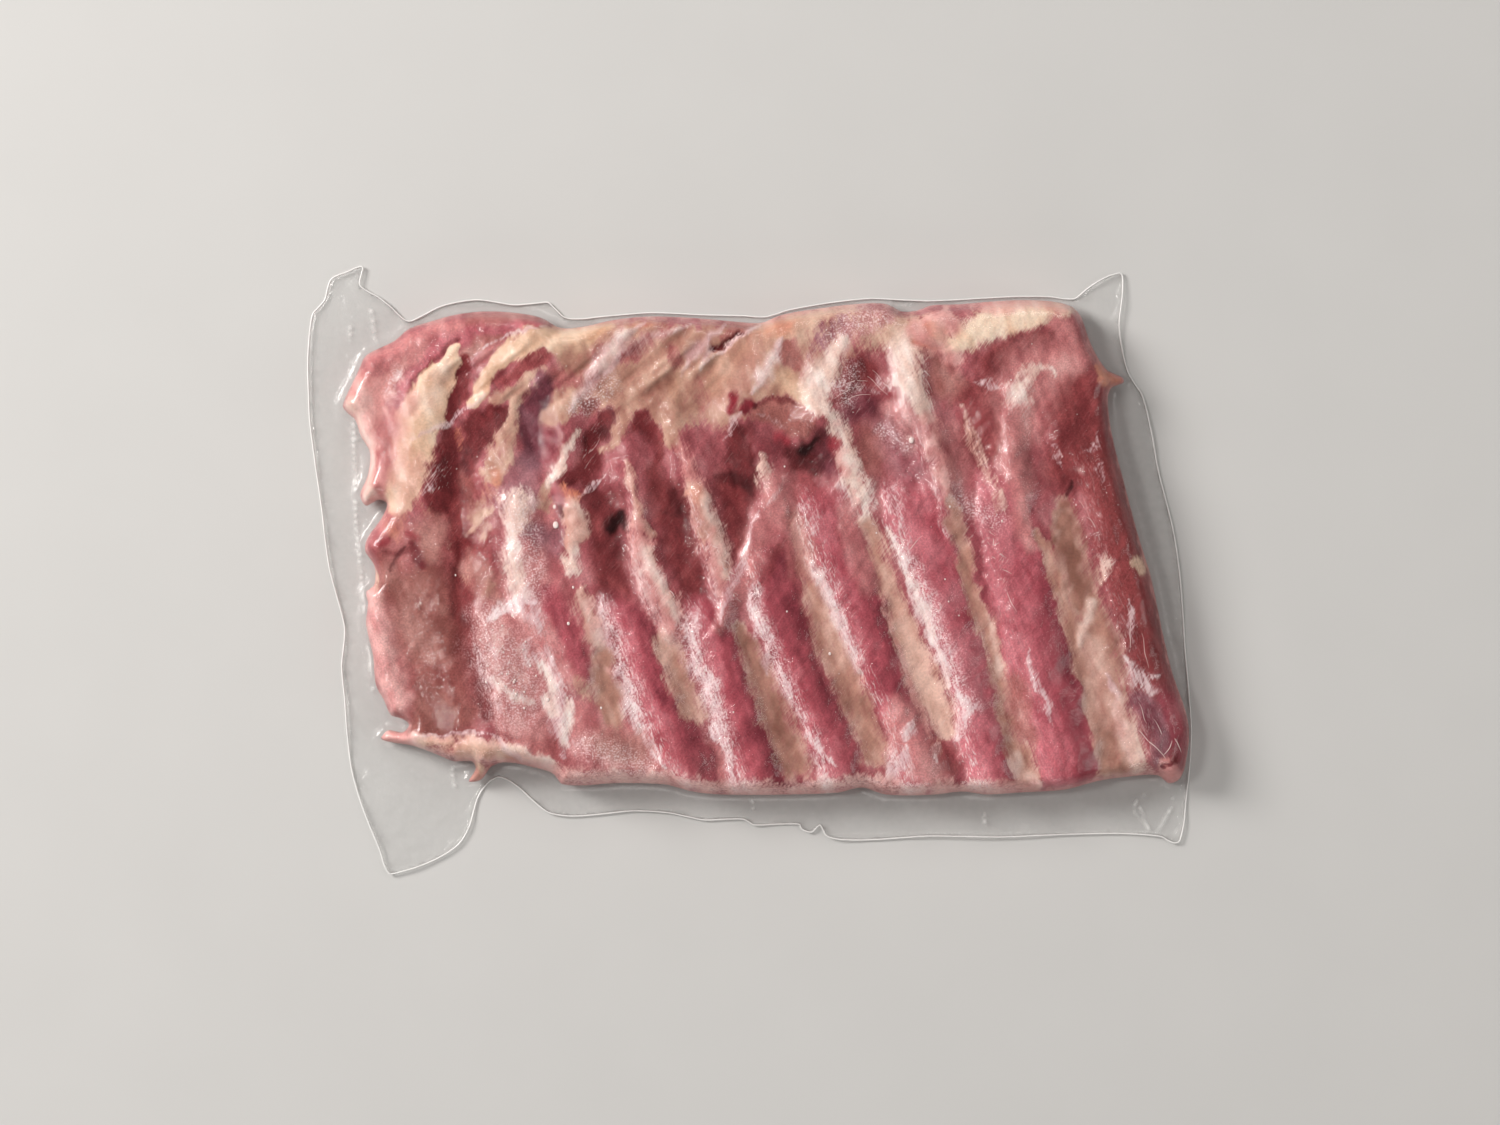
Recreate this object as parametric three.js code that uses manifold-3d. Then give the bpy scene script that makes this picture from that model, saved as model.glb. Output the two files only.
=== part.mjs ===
// A rack of pork spare ribs, inner side up, sealed in a clear vacuum pouch.
//
// Millimetres, +Z up. The pack lies on the plane z = 0 with its long side along X, and the
// origin is under the middle of its box. The pouch grips the rack all over, so the pouch and
// what it holds are one solid: the rack's ragged slab with its ribs in relief, and round it
// the flat margin where the two layers of film meet.

import * as THREE from "three";
import { mergeVertices } from "three/addons/utils/BufferGeometryUtils.js";
import Module from "manifold-3d";

// Driving dimensions
const marginThickness = 1.2; // the two layers of film, thickened so that they make a solid
const rackThickness = 23; // over most of the slab
const crownThickness = 4; // added where the slab is thickest, above its middle
const crownCentre = [40, 35];
const crownReach = [150, 85];
const thinEndLoss = 6; // the left end is a thin flap of meat and membrane
const thinEndStart = -110;
const thinEndFinish = -205;
const rimHeight = 6; // where the slab's side meets its outline
const rollReach = 13; // how far the rounded shoulder runs in from the outline
const ribSlant = 0.33; // sideways step of a rib for each step down the rack

// Relief of the ribs
const boneRise = 2.0; // at the top end the covered bones stand proud of the meat
const boneSink = -1.7; // at the bottom end the meat between them bulges past the bones
const boneRiseAt = 45; // heights on the rack where those two values hold
const boneSinkAt = -45;
const reliefTop = 92; // above this line a smooth band of fat hides the ribs
const reliefFade = 22;

// Sampling
const cellAcross = 4.6; // facets across the ribs, and along them
const cellAlong = 7.6;
const curveSteps = 2; // facets for each stretch between two outline points
const blockOverhang = 6; // the block reaches this far past the outline before it is trimmed
const blockFloor = 0;
const leastHeight = 0.5; // of the block outside the outline

// Middle of each rib where it crosses three levels of the rack, left to right: [x, x, x]
const ribLevels = [45, 0, -65];
const ribs = [
  [-165, -168, -166],
  [-117, -112, -101],
  [-89, -83, -61],
  [-57, -46, -22],
  [-27, -11, 15],
  [8, 27, 55],
  [48, 68, 92],
  [95, 109, 129],
  [132, 151, 172],
  [168, 190, 205],
];

// Folds and creases across the ribs: a ridge, or a groove where the height is negative
const folds = [
  { path: [[-146, 95], [-144, 5], [-143, -35], [-135, -75]], height: -3.2, width: 5 },
  { path: [[-192, 40], [-170, 85], [-146, 116]], height: 1.6, width: 9 },
  { path: [[-140, 75], [-118, 100], [-100, 122]], height: 1.5, width: 6 },
  { path: [[-105, 45], [-85, 80], [-62, 112]], height: 1.6, width: 6 },
  { path: [[-60, 70], [-40, 100], [-15, 118]], height: 1.3, width: 6 },
  { path: [[-18, 72], [8, 98], [22, 122]], height: 1.6, width: 6 },
  { path: [[30, 66], [46, 92], [52, 120]], height: 1.8, width: 8 },
  { path: [[72, 60], [80, 88], [84, 112]], height: 1.8, width: 8 },
  { path: [[92, 112], [130, 120], [160, 118]], height: 1.2, width: 8 },
  { path: [[-178, -83], [-120, -88], [-88, -98]], height: 1.5, width: 6 },
];

// The rack's ragged outline, clockwise from its top left corner: [x, y]
const rackTopEdge = [
  [-192, 106.5], [-185, 110.5], [-177, 114.5], [-170.5, 120], [-159, 124], [-146, 127.5],
  [-131, 129], [-115, 128], [-103.5, 125.5], [-96.5, 121.5], [-91, 120.5], [-80, 122],
  [-69, 124.5], [-50, 126.5], [-25, 125.5], [-2.5, 123.5], [6.5, 123.5], [15, 127],
  [35, 130.5], [57.5, 133], [68.5, 132.5], [75.5, 129], [83.5, 129.5], [90.5, 132],
  [103, 132.5], [130, 134.5], [150, 134], [160, 131.5],
];
const rackRightEdge = [
  [165, 126.5], [169, 115], [175, 103.5], [179, 99], [186, 96], [186.5, 93.5],
  [180.5, 91], [178.5, 86], [180.5, 67.5], [185.5, 47.5], [193.5, 17.5], [200, -3.5],
  [205, -27.5], [211, -52.5], [216.5, -68], [219, -80], [217.5, -95], [214.5, -104],
];
const rackBottomEdge = [
  [209, -106.5], [203.5, -102.5], [190, -103], [172.5, -105.5], [157.5, -109.5],
  [135, -111], [117.5, -112], [106, -110.5], [92.5, -112], [67.5, -112], [56, -108.5],
  [44, -111], [20, -112], [-15, -112], [-29, -110.5], [-42.5, -107], [-70, -106.5],
  [-93, -107], [-98.5, -101.5], [-110, -98], [-122.5, -96], [-129.5, -98.5],
  [-134, -104.5], [-140.5, -105.5], [-137, -99.5], [-138.5, -95.5], [-147.5, -95.5],
  [-155, -92.5], [-169, -87.5], [-184, -84.5], [-180.5, -80], [-173.5, -81],
  [-170, -77], [-174, -74],
];
const rackLeftEdge = [
  [-179, -72.5], [-182.5, -65], [-186.5, -57.5], [-188, -42.5], [-191.5, -27],
  [-190.5, -16.5], [-191.5, -11], [-187.5, -7.5], [-187.5, 2.5], [-192, 9.5],
  [-190.5, 16.5], [-185, 24], [-181, 33], [-185.5, 35], [-191.5, 32], [-194.5, 37.5],
  [-191, 46], [-189.5, 58.5], [-194, 66.5], [-197, 75], [-203, 81], [-200.5, 88.5],
  [-195, 100],
];

// The pouch's outline, clockwise from the point at its top left: [x, y]
const pouchTopEdge = [
  [-193.5, 151.5], [-195, 142.5], [-186, 136.5], [-179, 131], [-172.5, 125], [-169, 124.5],
  [-155, 131.5], [-136, 135], [-118.5, 132.5], [-105, 133.5], [-100.5, 133.5],
  [-92, 126], [-75, 126.5], [-50, 128.5], [-25, 127.5], [-3, 127], [8, 126.5],
  [20, 130], [57.5, 135.5], [75, 135], [92.5, 134.5], [130, 136.5], [150, 136.5],
  [162, 135.5], [168, 140], [177.5, 146],
];
const pouchRightEdge = [
  [186, 147.5], [184.5, 122.5], [189, 99], [196.5, 86], [204, 50], [211.5, 20],
  [215, -5], [217.5, -40], [220.5, -78], [220, -95], [218, -115], [215, -135],
];
const pouchBottomEdge = [
  [212, -136.5], [204, -133], [165, -132], [125, -133.5], [90, -133], [67.5, -134.5],
  [50, -135], [38.5, -133], [35, -127.5], [31, -131], [26, -129.5], [24, -127],
  [3, -127.5], [-4, -124.5], [-22.5, -125], [-40, -121.5], [-60, -120.5], [-85, -123],
  [-101, -121], [-114, -110], [-125, -103.5], [-131.5, -107], [-136.5, -115],
  [-140, -127.5], [-146, -137.5], [-160, -146], [-175, -151],
];
const pouchLeftEdge = [
  [-180.5, -151.5], [-185, -140], [-194, -117.5], [-199.5, -97.5], [-202.5, -65],
  [-204, -47.5], [-202.5, -30], [-206, -15], [-210.5, 2.5], [-214, 30], [-219.5, 70],
  [-220.5, 85], [-219, 126], [-212.5, 135], [-209.5, 145], [-201, 149],
];

const wasm = await Module();
wasm.setup();

// A smooth closed loop through the points of several edges, as Vector2s.
function smoothLoop(...edges) {
  const points = edges.flat().map(([x, y]) => new THREE.Vector3(x, y, 0));
  const curve = new THREE.CatmullRomCurve3(points, true, "centripetal");
  const loop = curve.getPoints(points.length * curveSteps);
  loop.pop(); // the last point repeats the first
  return loop.map((p) => new THREE.Vector2(p.x, p.y));
}

// How far a point lies inside a loop, negative outside it.
function depthInside(x, y, loop) {
  let inside = false;
  let nearest = Infinity;
  loop.forEach((b, i) => {
    const a = loop.at(i - 1);
    if (a.y > y !== b.y > y && x < a.x + ((y - a.y) / (b.y - a.y)) * (b.x - a.x)) inside = !inside;
    nearest = Math.min(nearest, distanceToStretch(x, y, a, b));
  });
  return inside ? nearest : -nearest;
}

// Distance from a point to the straight stretch between a and b.
function distanceToStretch(x, y, a, b) {
  const along = b.clone().sub(a);
  const share = along.dot(new THREE.Vector2(x, y).sub(a)) / along.lengthSq();
  return a.clone().addScaledVector(along, THREE.MathUtils.clamp(share, 0, 1)).distanceTo({ x, y });
}

// Where a rib's middle crosses the level y.
function ribMiddle(rib, y) {
  const segment = y > ribLevels[1] ? 0 : 1;
  const share = (y - ribLevels[segment]) / (ribLevels[segment + 1] - ribLevels[segment]);
  return THREE.MathUtils.lerp(rib[segment], rib[segment + 1], share);
}

// Place across the ribs: a whole number on each rib's middle, a half between two ribs.
function ribPhase(x, y) {
  const middles = ribs.map((rib) => ribMiddle(rib, y));
  const next = middles.findIndex((middle) => middle > x);
  const left = THREE.MathUtils.clamp((next < 0 ? middles.length : next) - 1, 0, middles.length - 2);
  return left + (x - middles[left]) / (middles[left + 1] - middles[left]);
}

// Height of the ribs' relief above the plain slab.
function ribRelief(x, y) {
  const swing = THREE.MathUtils.mapLinear(
    THREE.MathUtils.clamp(y, boneSinkAt, boneRiseAt), boneSinkAt, boneRiseAt, boneSink, boneRise);
  const shown = 1 - THREE.MathUtils.smoothstep(y, reliefTop - reliefFade, reliefTop);
  return swing * shown * Math.cos(2 * Math.PI * ribPhase(x, y));
}

// Height of the folds and creases.
function foldRelief(x, y) {
  return folds.reduce((sum, { path, height, width }) => {
    const points = path.map(([px, py]) => new THREE.Vector2(px, py));
    const gaps = points.slice(1).map((b, i) => distanceToStretch(x, y, points[i], b));
    return sum + height * Math.exp(-((Math.min(...gaps) / width) ** 2));
  }, 0);
}

// Height of the rack's top at a place. The shoulder is a wave that meets the rim's height on the
// outline and runs on below it outside, so that the trimmed edge stays level.
function rackTop(x, y, outline) {
  const fromCrown = Math.hypot((x - crownCentre[0]) / crownReach[0], (y - crownCentre[1]) / crownReach[1]);
  const thinEnd = 1 - THREE.MathUtils.smoothstep(x, thinEndFinish, thinEndStart);
  const slab = rackThickness + crownThickness * Math.exp(-(fromCrown ** 2)) - thinEndLoss * thinEnd;
  const full = slab + ribRelief(x, y) + foldRelief(x, y);
  const reach = THREE.MathUtils.clamp(depthInside(x, y, outline) / rollReach, -1, 1);
  const height = THREE.MathUtils.lerp(rimHeight, full, Math.sin((reach * Math.PI) / 2));
  return Math.max(height, blockFloor + leastHeight);
}

// A closed geometry as a solid that can be joined and cut.
function solidOf(geometry) {
  const bare = geometry.clone();
  bare.deleteAttribute("normal");
  bare.deleteAttribute("uv");
  const merged = mergeVertices(bare, 1e-4);
  return new wasm.Manifold(new wasm.Mesh({
    numProp: 3,
    vertProperties: merged.getAttribute("position").array,
    triVerts: new Uint32Array(merged.index.array),
  }));
}

// A solid as a geometry again.
function geometryOf(solid) {
  const mesh = solid.getMesh();
  const geometry = new THREE.BufferGeometry();
  geometry.setAttribute("position", new THREE.BufferAttribute(mesh.vertProperties, mesh.numProp));
  geometry.setIndex(new THREE.BufferAttribute(mesh.triVerts, 1));
  geometry.computeVertexNormals();
  return geometry;
}

// A prism that stands on z = 0 over an outline.
function prism(outline, height) {
  return new THREE.ExtrudeGeometry(new THREE.Shape(outline), { depth: height, bevelEnabled: false });
}

// A block whose top is the rack's relief. Its columns of facets lean with the ribs.
function reliefBlock(outline) {
  const box = new THREE.Box2().setFromPoints(outline).expandByScalar(blockOverhang);
  const size = box.getSize(new THREE.Vector2());
  const middle = box.getCenter(new THREE.Vector2());
  const length = size.x + size.y * ribSlant;
  const block = new THREE.BoxGeometry(
    length, size.y, 1, Math.round(length / cellAcross), Math.round(size.y / cellAlong), 1);
  const position = block.getAttribute("position");
  for (let i = 0; i < position.count; i++) {
    const y = middle.y + position.getY(i);
    const x = middle.x + position.getX(i) - position.getY(i) * ribSlant;
    position.setXYZ(i, x, y, position.getZ(i) > 0 ? rackTop(x, y, outline) : blockFloor);
  }
  return block;
}

// The rack's slab and the pouch's margin as one solid.
function sealedPack() {
  const rackOutline = smoothLoop(rackTopEdge, rackRightEdge, rackBottomEdge, rackLeftEdge);
  const pouchOutline = smoothLoop(pouchTopEdge, pouchRightEdge, pouchBottomEdge, pouchLeftEdge);
  const trim = prism(rackOutline, 2 * rackThickness);
  const rack = solidOf(reliefBlock(rackOutline)).intersect(solidOf(trim));
  const margin = solidOf(prism(pouchOutline, marginThickness));
  return geometryOf(rack.add(margin));
}

const pork = new THREE.MeshStandardMaterial({ color: 0xb56a6c, roughness: 0.35, metalness: 0 });

const pack = new THREE.Mesh(sealedPack(), pork);
pack.name = "sealed_pack";

const part = new THREE.Group();
part.add(pack);

export default part;
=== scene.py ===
"""Looks of a vacuum pack of pork spare ribs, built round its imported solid.

The solid fixes both outlines, the slab's and the pouch's, and the height of the slab's top.
Everything that shows is made here: the raw slab with its tissues, the loose strands on it,
the clear film over it, the film's cut edge and the air caught under it.
"""
import logging
import math
from collections.abc import Iterable
from dataclasses import dataclass
from dataclasses import field
from enum import Enum
from functools import partial

import bpy
import numpy as np
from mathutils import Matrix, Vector
from mathutils.bvhtree import BVHTree
from mathutils.geometry import delaunay_2d_cdt
from mathutils.kdtree import KDTree


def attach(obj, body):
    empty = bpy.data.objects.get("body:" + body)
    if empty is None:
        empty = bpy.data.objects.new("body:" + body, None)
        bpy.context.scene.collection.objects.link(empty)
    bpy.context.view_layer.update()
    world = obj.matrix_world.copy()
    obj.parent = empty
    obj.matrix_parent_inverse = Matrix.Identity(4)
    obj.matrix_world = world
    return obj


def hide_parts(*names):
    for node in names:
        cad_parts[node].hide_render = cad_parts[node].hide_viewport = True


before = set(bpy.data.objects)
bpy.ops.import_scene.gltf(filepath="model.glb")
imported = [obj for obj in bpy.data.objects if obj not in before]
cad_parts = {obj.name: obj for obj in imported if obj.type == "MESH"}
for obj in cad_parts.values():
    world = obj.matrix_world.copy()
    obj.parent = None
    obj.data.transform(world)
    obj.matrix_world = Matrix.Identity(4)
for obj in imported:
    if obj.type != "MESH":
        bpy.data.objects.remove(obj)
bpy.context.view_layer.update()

LOG = logging.getLogger("rib_pack")
MM = 0.001
NODE = "sealed_pack"
BODY = "root"

# Marks are placed by the photograph's pixels: this pixel lies over the pack's origin. A pixel
# is this wide on the table, and a little less on the slab's top, nearer the camera
PHOTO_SIZE_PX = (1500, 1125)
PHOTO_ORIGIN_PX = np.array((750.0, 570.0))
MM_PER_PX = 0.5
TOP_MM_PER_PX = 0.4955

# The ribs run down and to the right, the muscle threads between them and the folds of the fat
# up and to the right: all angles are off the pack's short side
RIB_LEAN = math.radians(19.0)
THREAD_LEAN = math.radians(-36.0)
FOLD_LEAN = math.radians(-52.0)

# Noise repeats after this many lumps. Its layers have seeds this far apart, and their sum is
# scaled down by this
NOISE_CELLS = 256
LAYER_SEED_STEP = 101
LAYER_SCALE = 1.3

# A mark is measured out to this many of its greatest half widths
MARK_REACH = 2.2

# A muscle fades over this many pixels past its lower end, and its crest is skewed to its left
MUSCLE_END_PX = 10.0
MUSCLE_SKEW = 0.68

# Marks that fade over less than this share of their half width have a crisp edge, which
# fades over no more than it would on a mark of this half width
CRISP_BELOW = 0.5
CRISP_EDGE_PX = 9.0

# An edge fades over the first share of a half width, plus the second times its softness, and
# over the third at most. A soft patch of lean spreads by this share of its softness
EDGE_FADE = (0.25, 0.8, 0.95)
LEAN_SPREAD = 0.3

Array = np.ndarray
Path = tuple[tuple[float, float, float], ...]


def linear(code: str) -> Array:
    """Turn an sRGB hex colour such as "#a4585d" into three linear values from 0 to 1."""
    srgb = np.array([int(code[i:i + 2], 16) for i in (1, 3, 5)]) / 255.0
    return np.where(srgb <= 0.04045, srgb / 12.92, ((srgb + 0.055) / 1.055) ** 2.4)


def rgba(code: str) -> tuple[float, float, float, float]:
    """Give a hex colour as an opaque linear socket value."""
    return (*linear(code), 1.0)


def smooth(low: float, high: float, value: Array) -> Array:
    """Rise smoothly from 0 where a value is low to 1 where it is high; low may be the larger."""
    t = np.clip((value - low) / (high - low), 0.0, 1.0)
    return t * t * (3.0 - 2.0 * t)


def shoulder(depth: Array, roll: float | Array) -> Array:
    """Give a round shoulder's height at depths inside an outline, from 0 to 1 at its full width."""
    reach = np.clip(depth / roll, 0.0, 1.0)
    return np.sqrt(1.0 - (1.0 - reach) ** 2)


def run_along(path: Array) -> Array:
    """Give the distance along a path at each of its points."""
    return np.concatenate([[0.0], np.cumsum(np.linalg.norm(np.diff(path, axis=0), axis=1))])


def from_photo(path: Iterable[tuple[float, ...]]) -> Array:
    """Turn photograph pixels into pack millimetres.

    Args:
        path: Rows of x, y and any sizes, all in pixels.

    Returns:
        The same rows in millimetres, y pointing up.
    """
    rows = np.array(list(path), float)
    rows[:, :2] = (rows[:, :2] - PHOTO_ORIGIN_PX) * (1.0, -1.0)
    return rows * TOP_MM_PER_PX


@dataclass(frozen=True)
class Noise:
    """Smooth random values over the pack, the same in every run.

    Attributes:
        amount: Its strength.
        size: Size of the largest lumps across the grain, in millimetres.
        seed: Picks the pattern.
        along: How many times longer a lump is along the grain.
        lean: Angle of the grain off the pack's short side.
        layers: How many halving sizes are added up, or 0 for one plain layer.
    """

    amount: float
    size: float
    seed: int
    along: float = 1.0
    lean: float = RIB_LEAN
    layers: int = 0

    def layer(self, points: Array, size: float, seed: int) -> Array:
        """Give one layer of the noise, from -1 to 1.

        Args:
            points: Places in millimetres.
            size: Size of a lump across the grain.
            seed: Picks the pattern.

        Returns:
            One value for each place.
        """
        cells = NOISE_CELLS
        grid = np.random.default_rng(seed).uniform(-1.0, 1.0, (cells, cells))
        across_axis = np.array((math.cos(self.lean), math.sin(self.lean)))
        along_axis = np.array((math.sin(self.lean), -math.cos(self.lean)))
        u = points @ across_axis / size + seed
        v = points @ along_axis / (size * self.along) + seed
        i, j = np.floor(u).astype(int), np.floor(v).astype(int)
        fu, fv = smooth(0, 1, u - i), smooth(0, 1, v - j)
        corner = [[grid[(i + a) % cells, (j + b) % cells] for b in (0, 1)] for a in (0, 1)]
        low = corner[0][0] * (1 - fu) + corner[1][0] * fu
        high = corner[0][1] * (1 - fu) + corner[1][1] * fu
        return low * (1 - fv) + high * fv

    def at(self, points: Array) -> Array:
        """Give the noise at places, from about -1 to 1 times its amount.

        Args:
            points: Places in millimetres.

        Returns:
            One value for each place.
        """
        if not self.layers:
            return self.amount * self.layer(points, self.size, self.seed)
        total = sum(self.layer(points, self.size / 2 ** k, self.seed + LAYER_SEED_STEP * k) / 2 ** k
                    for k in range(self.layers))
        return self.amount * (total / LAYER_SCALE)


def add_up(noises: tuple[Noise, ...], points: Array, start: float = 0.0) -> Array:
    """Add several noises to a starting value."""
    return sum((noise.at(points) for noise in noises), start)


@dataclass(frozen=True)
class TissueTone:
    """Colours and grain of one kind of tissue.

    Attributes:
        deep: Darkest colour, sRGB hex.
        middle: Usual colour.
        pale: Lightest colour.
        grain: How strongly muscle fibres streak it, from 0 to 1.
        wet: How glossy it is, from 0 to 1.
        covers: Whether it lies over the muscle, as fat and sheath do.
        body: How fully it hides what is under it, from 0 to 1.
        taper: How far its streaks thin out towards their ends, from 0 to 1.
    """

    deep: str
    middle: str
    pale: str
    grain: float
    wet: float
    covers: bool
    body: float = 1.0
    taper: float = 0.0

    def blend(self, share: Array) -> Array:
        """Mix the three colours: a share of 0 is deep, 0.5 is middle and 1 is pale."""
        stops = np.array([linear(c) for c in (self.deep, self.middle, self.pale)])
        return np.column_stack([np.interp(share, (0.0, 0.5, 1.0), stops[:, k]) for k in range(3)])


class Tissue(Enum):
    """The tissues that show on the slab."""

    LEAN = TissueTone("#7c363b", "#a5595f", "#c88a8c", 1.0, 0.5, False)
    DARK_LEAN = TissueTone("#4e1a1d", "#732d30", "#954647", 1.0, 0.5, False)
    RICH_LEAN = TissueTone("#782d39", "#a94f5a", "#ce7d86", 1.0, 0.6, False)
    PURPLE_LEAN = TissueTone("#48212a", "#743a45", "#a4767f", 0.8, 0.6, False)
    ROSE_LEAN = TissueTone("#a85f62", "#c98584", "#e5b3af", 0.45, 0.7, False)
    MEMBRANE = TissueTone("#824a45", "#a3665f", "#c4938b", 0.4, 0.7, False)
    BLOOD = TissueTone("#5a101c", "#8a1f2e", "#aa4049", 0.2, 0.8, False, 0.95)
    CLOT = TissueTone("#190506", "#2c0a0d", "#561a20", 0.2, 0.6, False, 0.95, 0.3)
    PINK_FAT = TissueTone("#bc7472", "#d69793", "#eec5be", 0.3, 0.6, True, 0.9)
    CREAM_FAT = TissueTone("#cc9f83", "#e2bfa5", "#f1dbc6", 0.1, 0.4, True)
    TAN_FAT = TissueTone("#8c5b4e", "#b48574", "#d8b5a1", 0.4, 0.4, True)
    WHITE_FAT = TissueTone("#cf9c8f", "#e8cabe", "#fbeee7", 0.3, 0.5, True, 0.94, 0.1)
    # Pale sheath; it is also laid along lit slopes, fold crests and crease lines as a painted highlight
    FASCIA = TissueTone("#cc9ca2", "#e2c3c6", "#f8edec", 0.5, 0.9, True, 0.62, 0.75)
    BONE = TissueTone("#8a5d50", "#bd8c7c", "#e6bfb0", 0.2, 0.5, True, 0.97)
    RUST = TissueTone("#b4583f", "#cb7d62", "#dda28a", 0.2, 0.5, True, 0.8)


# The tissues' plain names, for the many marks below
(LEAN, DARK_LEAN, RICH_LEAN, PURPLE_LEAN, ROSE_LEAN, MEMBRANE, BLOOD, CLOT, PINK_FAT, CREAM_FAT, TAN_FAT,
 WHITE_FAT, FASCIA, BONE, RUST) = Tissue


@dataclass(frozen=True)
class Mark:
    """One patch, strip or streak of tissue on the slab's top.

    Attributes:
        tissue: What it is made of.
        path: Pixels of the photograph along its middle, each with its half width: (x, y, r).
        cover: How fully it hides what is under it, from 0 to 1.
        soft: How gently it fades at its edge, in half widths.
        tone: How much paler or deeper than usual it is, from -0.5 to 0.5.
        rise: How far it stands proud of the slab, in millimetres.
    """

    tissue: Tissue
    path: Path = ()
    cover: float = 1.0
    soft: float = 0.45
    tone: float = 0.0
    rise: float = 0.0

    def reach(self, points: Array) -> Array:
        """Measure how far places lie from the mark's middle, in half widths.

        Args:
            points: Places in millimetres.

        Returns:
            0 on the middle, 1 on the edge, more outside.
        """
        rows = from_photo(self.path)
        ends = rows[1:] if len(rows) > 1 else rows
        widest = MARK_REACH * rows[:, 2].max()
        box = (points > rows[:, :2].min(axis=0) - widest) & (points < rows[:, :2].max(axis=0) + widest)
        close = np.flatnonzero(box.all(axis=1))
        best = np.full(len(points), np.inf)
        stops = np.linspace(0.0, 1.0, len(ends) + 1)
        for start, end, first, last in zip(rows, ends, stops, stops[1:]):
            step = end[:2] - start[:2]
            offset = points[close] - start[:2]
            share = np.clip(offset @ step / max(step @ step, 1e-9), 0.0, 1.0)
            gap = np.linalg.norm(offset - share[:, None] * step, axis=1)
            swell = np.sin(math.pi * (first + share * (last - first)))
            thin = 1.0 - self.tissue.value.taper * (1.0 - swell)
            width = (start[2] + share * (end[2] - start[2])) * thin
            best[close] = np.minimum(best[close], gap / width)
        return best


def nearest(tissue: Tissue, paths: Iterable[Path], points: Array) -> Array:
    """Measure how far places lie from the nearest of several paths, in half widths."""
    return np.min([Mark(tissue, path).reach(points) for path in paths], axis=0)


@dataclass(frozen=True)
class Muscle:
    """One long muscle, or one covered rib, that swells between two valleys.

    Attributes:
        tissue: What it is made of.
        rows: Pixels of the photograph from the top down: (y, left edge, right edge).
        rise: Height of its crest above the valleys, in millimetres.
        sheath: How fully white sheath covers its left side, where the light falls, from 0 to 1; it is partly
            a painted sheen, and it also sets how strongly painted glints show on its crest.
        cover: How fully its tissue hides what is under it, from 0 to 1.
        tone: How much paler or deeper than usual it is, from -0.5 to 0.5.
        fade: Length of its fading upper end, in pixels.
    """

    tissue: Tissue
    rows: Path
    rise: float
    sheath: float = 0.0
    cover: float = 0.85
    tone: float = 0.0
    fade: float = 30.0

    def across(self, points: Array) -> tuple[Array, Array]:
        """Measure where places lie on the muscle.

        Args:
            points: Places in millimetres.

        Returns:
            The share across it, 0 on its left edge and 1 on its right, and how fully each place
            lies between its ends.
        """
        pixels = points * (1.0, -1.0) / TOP_MM_PER_PX + PHOTO_ORIGIN_PX
        level, left, right = np.array(self.rows, float).T
        low = np.interp(pixels[:, 1], level, left)
        high = np.interp(pixels[:, 1], level, right)
        ends = smooth(level[0], level[0] + self.fade, pixels[:, 1])
        ends = ends * smooth(level[-1] + MUSCLE_END_PX, level[-1] - MUSCLE_END_PX, pixels[:, 1])
        return (pixels[:, 0] - low) / (high - low), ends

    def height(self, points: Array) -> Array:
        """Give its height above the valleys, steeper on its left side than on its right."""
        share, ends = self.across(points)
        return self.rise * ends * np.sin(math.pi * np.clip(share, 0.0, 1.0) ** MUSCLE_SKEW)


def mark_rows(*rows: tuple) -> tuple[Mark, ...]:
    """Make one mark from each row of its values."""
    return tuple(Mark(*row) for row in rows)


# What shows on the slab, broad fields first and fine streaks last

# Tan fat along the upper edge
UPPER_TAN_FAT = mark_rows(
    (TAN_FAT, ((580, 352, 28), (630, 358, 40), (680, 374, 48), (730, 374, 50), (780, 364, 46),
     (815, 354, 38)), 0.97, 0.35),
    (TAN_FAT, ((558, 398, 12), (622, 396, 22), (675, 410, 24), (716, 402, 22)), 0.85, 0.7),
    (TAN_FAT, ((795, 328, 18), (845, 324, 20), (885, 330, 20), (925, 334, 18)), 0.95, 0.5, 0.42),
)

# Thin end and lower edge
THIN_END = mark_rows(
    (MEMBRANE, ((410, 556, 30), (420, 610, 38), (426, 660, 42), (438, 705, 34), (425, 725, 18)), 1, 0.5,
     -0.5),
    (ROSE_LEAN, ((498, 600, 20), (505, 650, 28), (515, 695, 28), (535, 735, 18)), 0.85, 0.55),
    (ROSE_LEAN, ((590, 745, 22), (640, 755, 24), (690, 770, 18)), 0.6, 0.7),
    (ROSE_LEAN, ((692, 768, 12), (716, 764, 12), (730, 776, 10)), 0.75, 0.9, -0.05),
)

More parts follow.
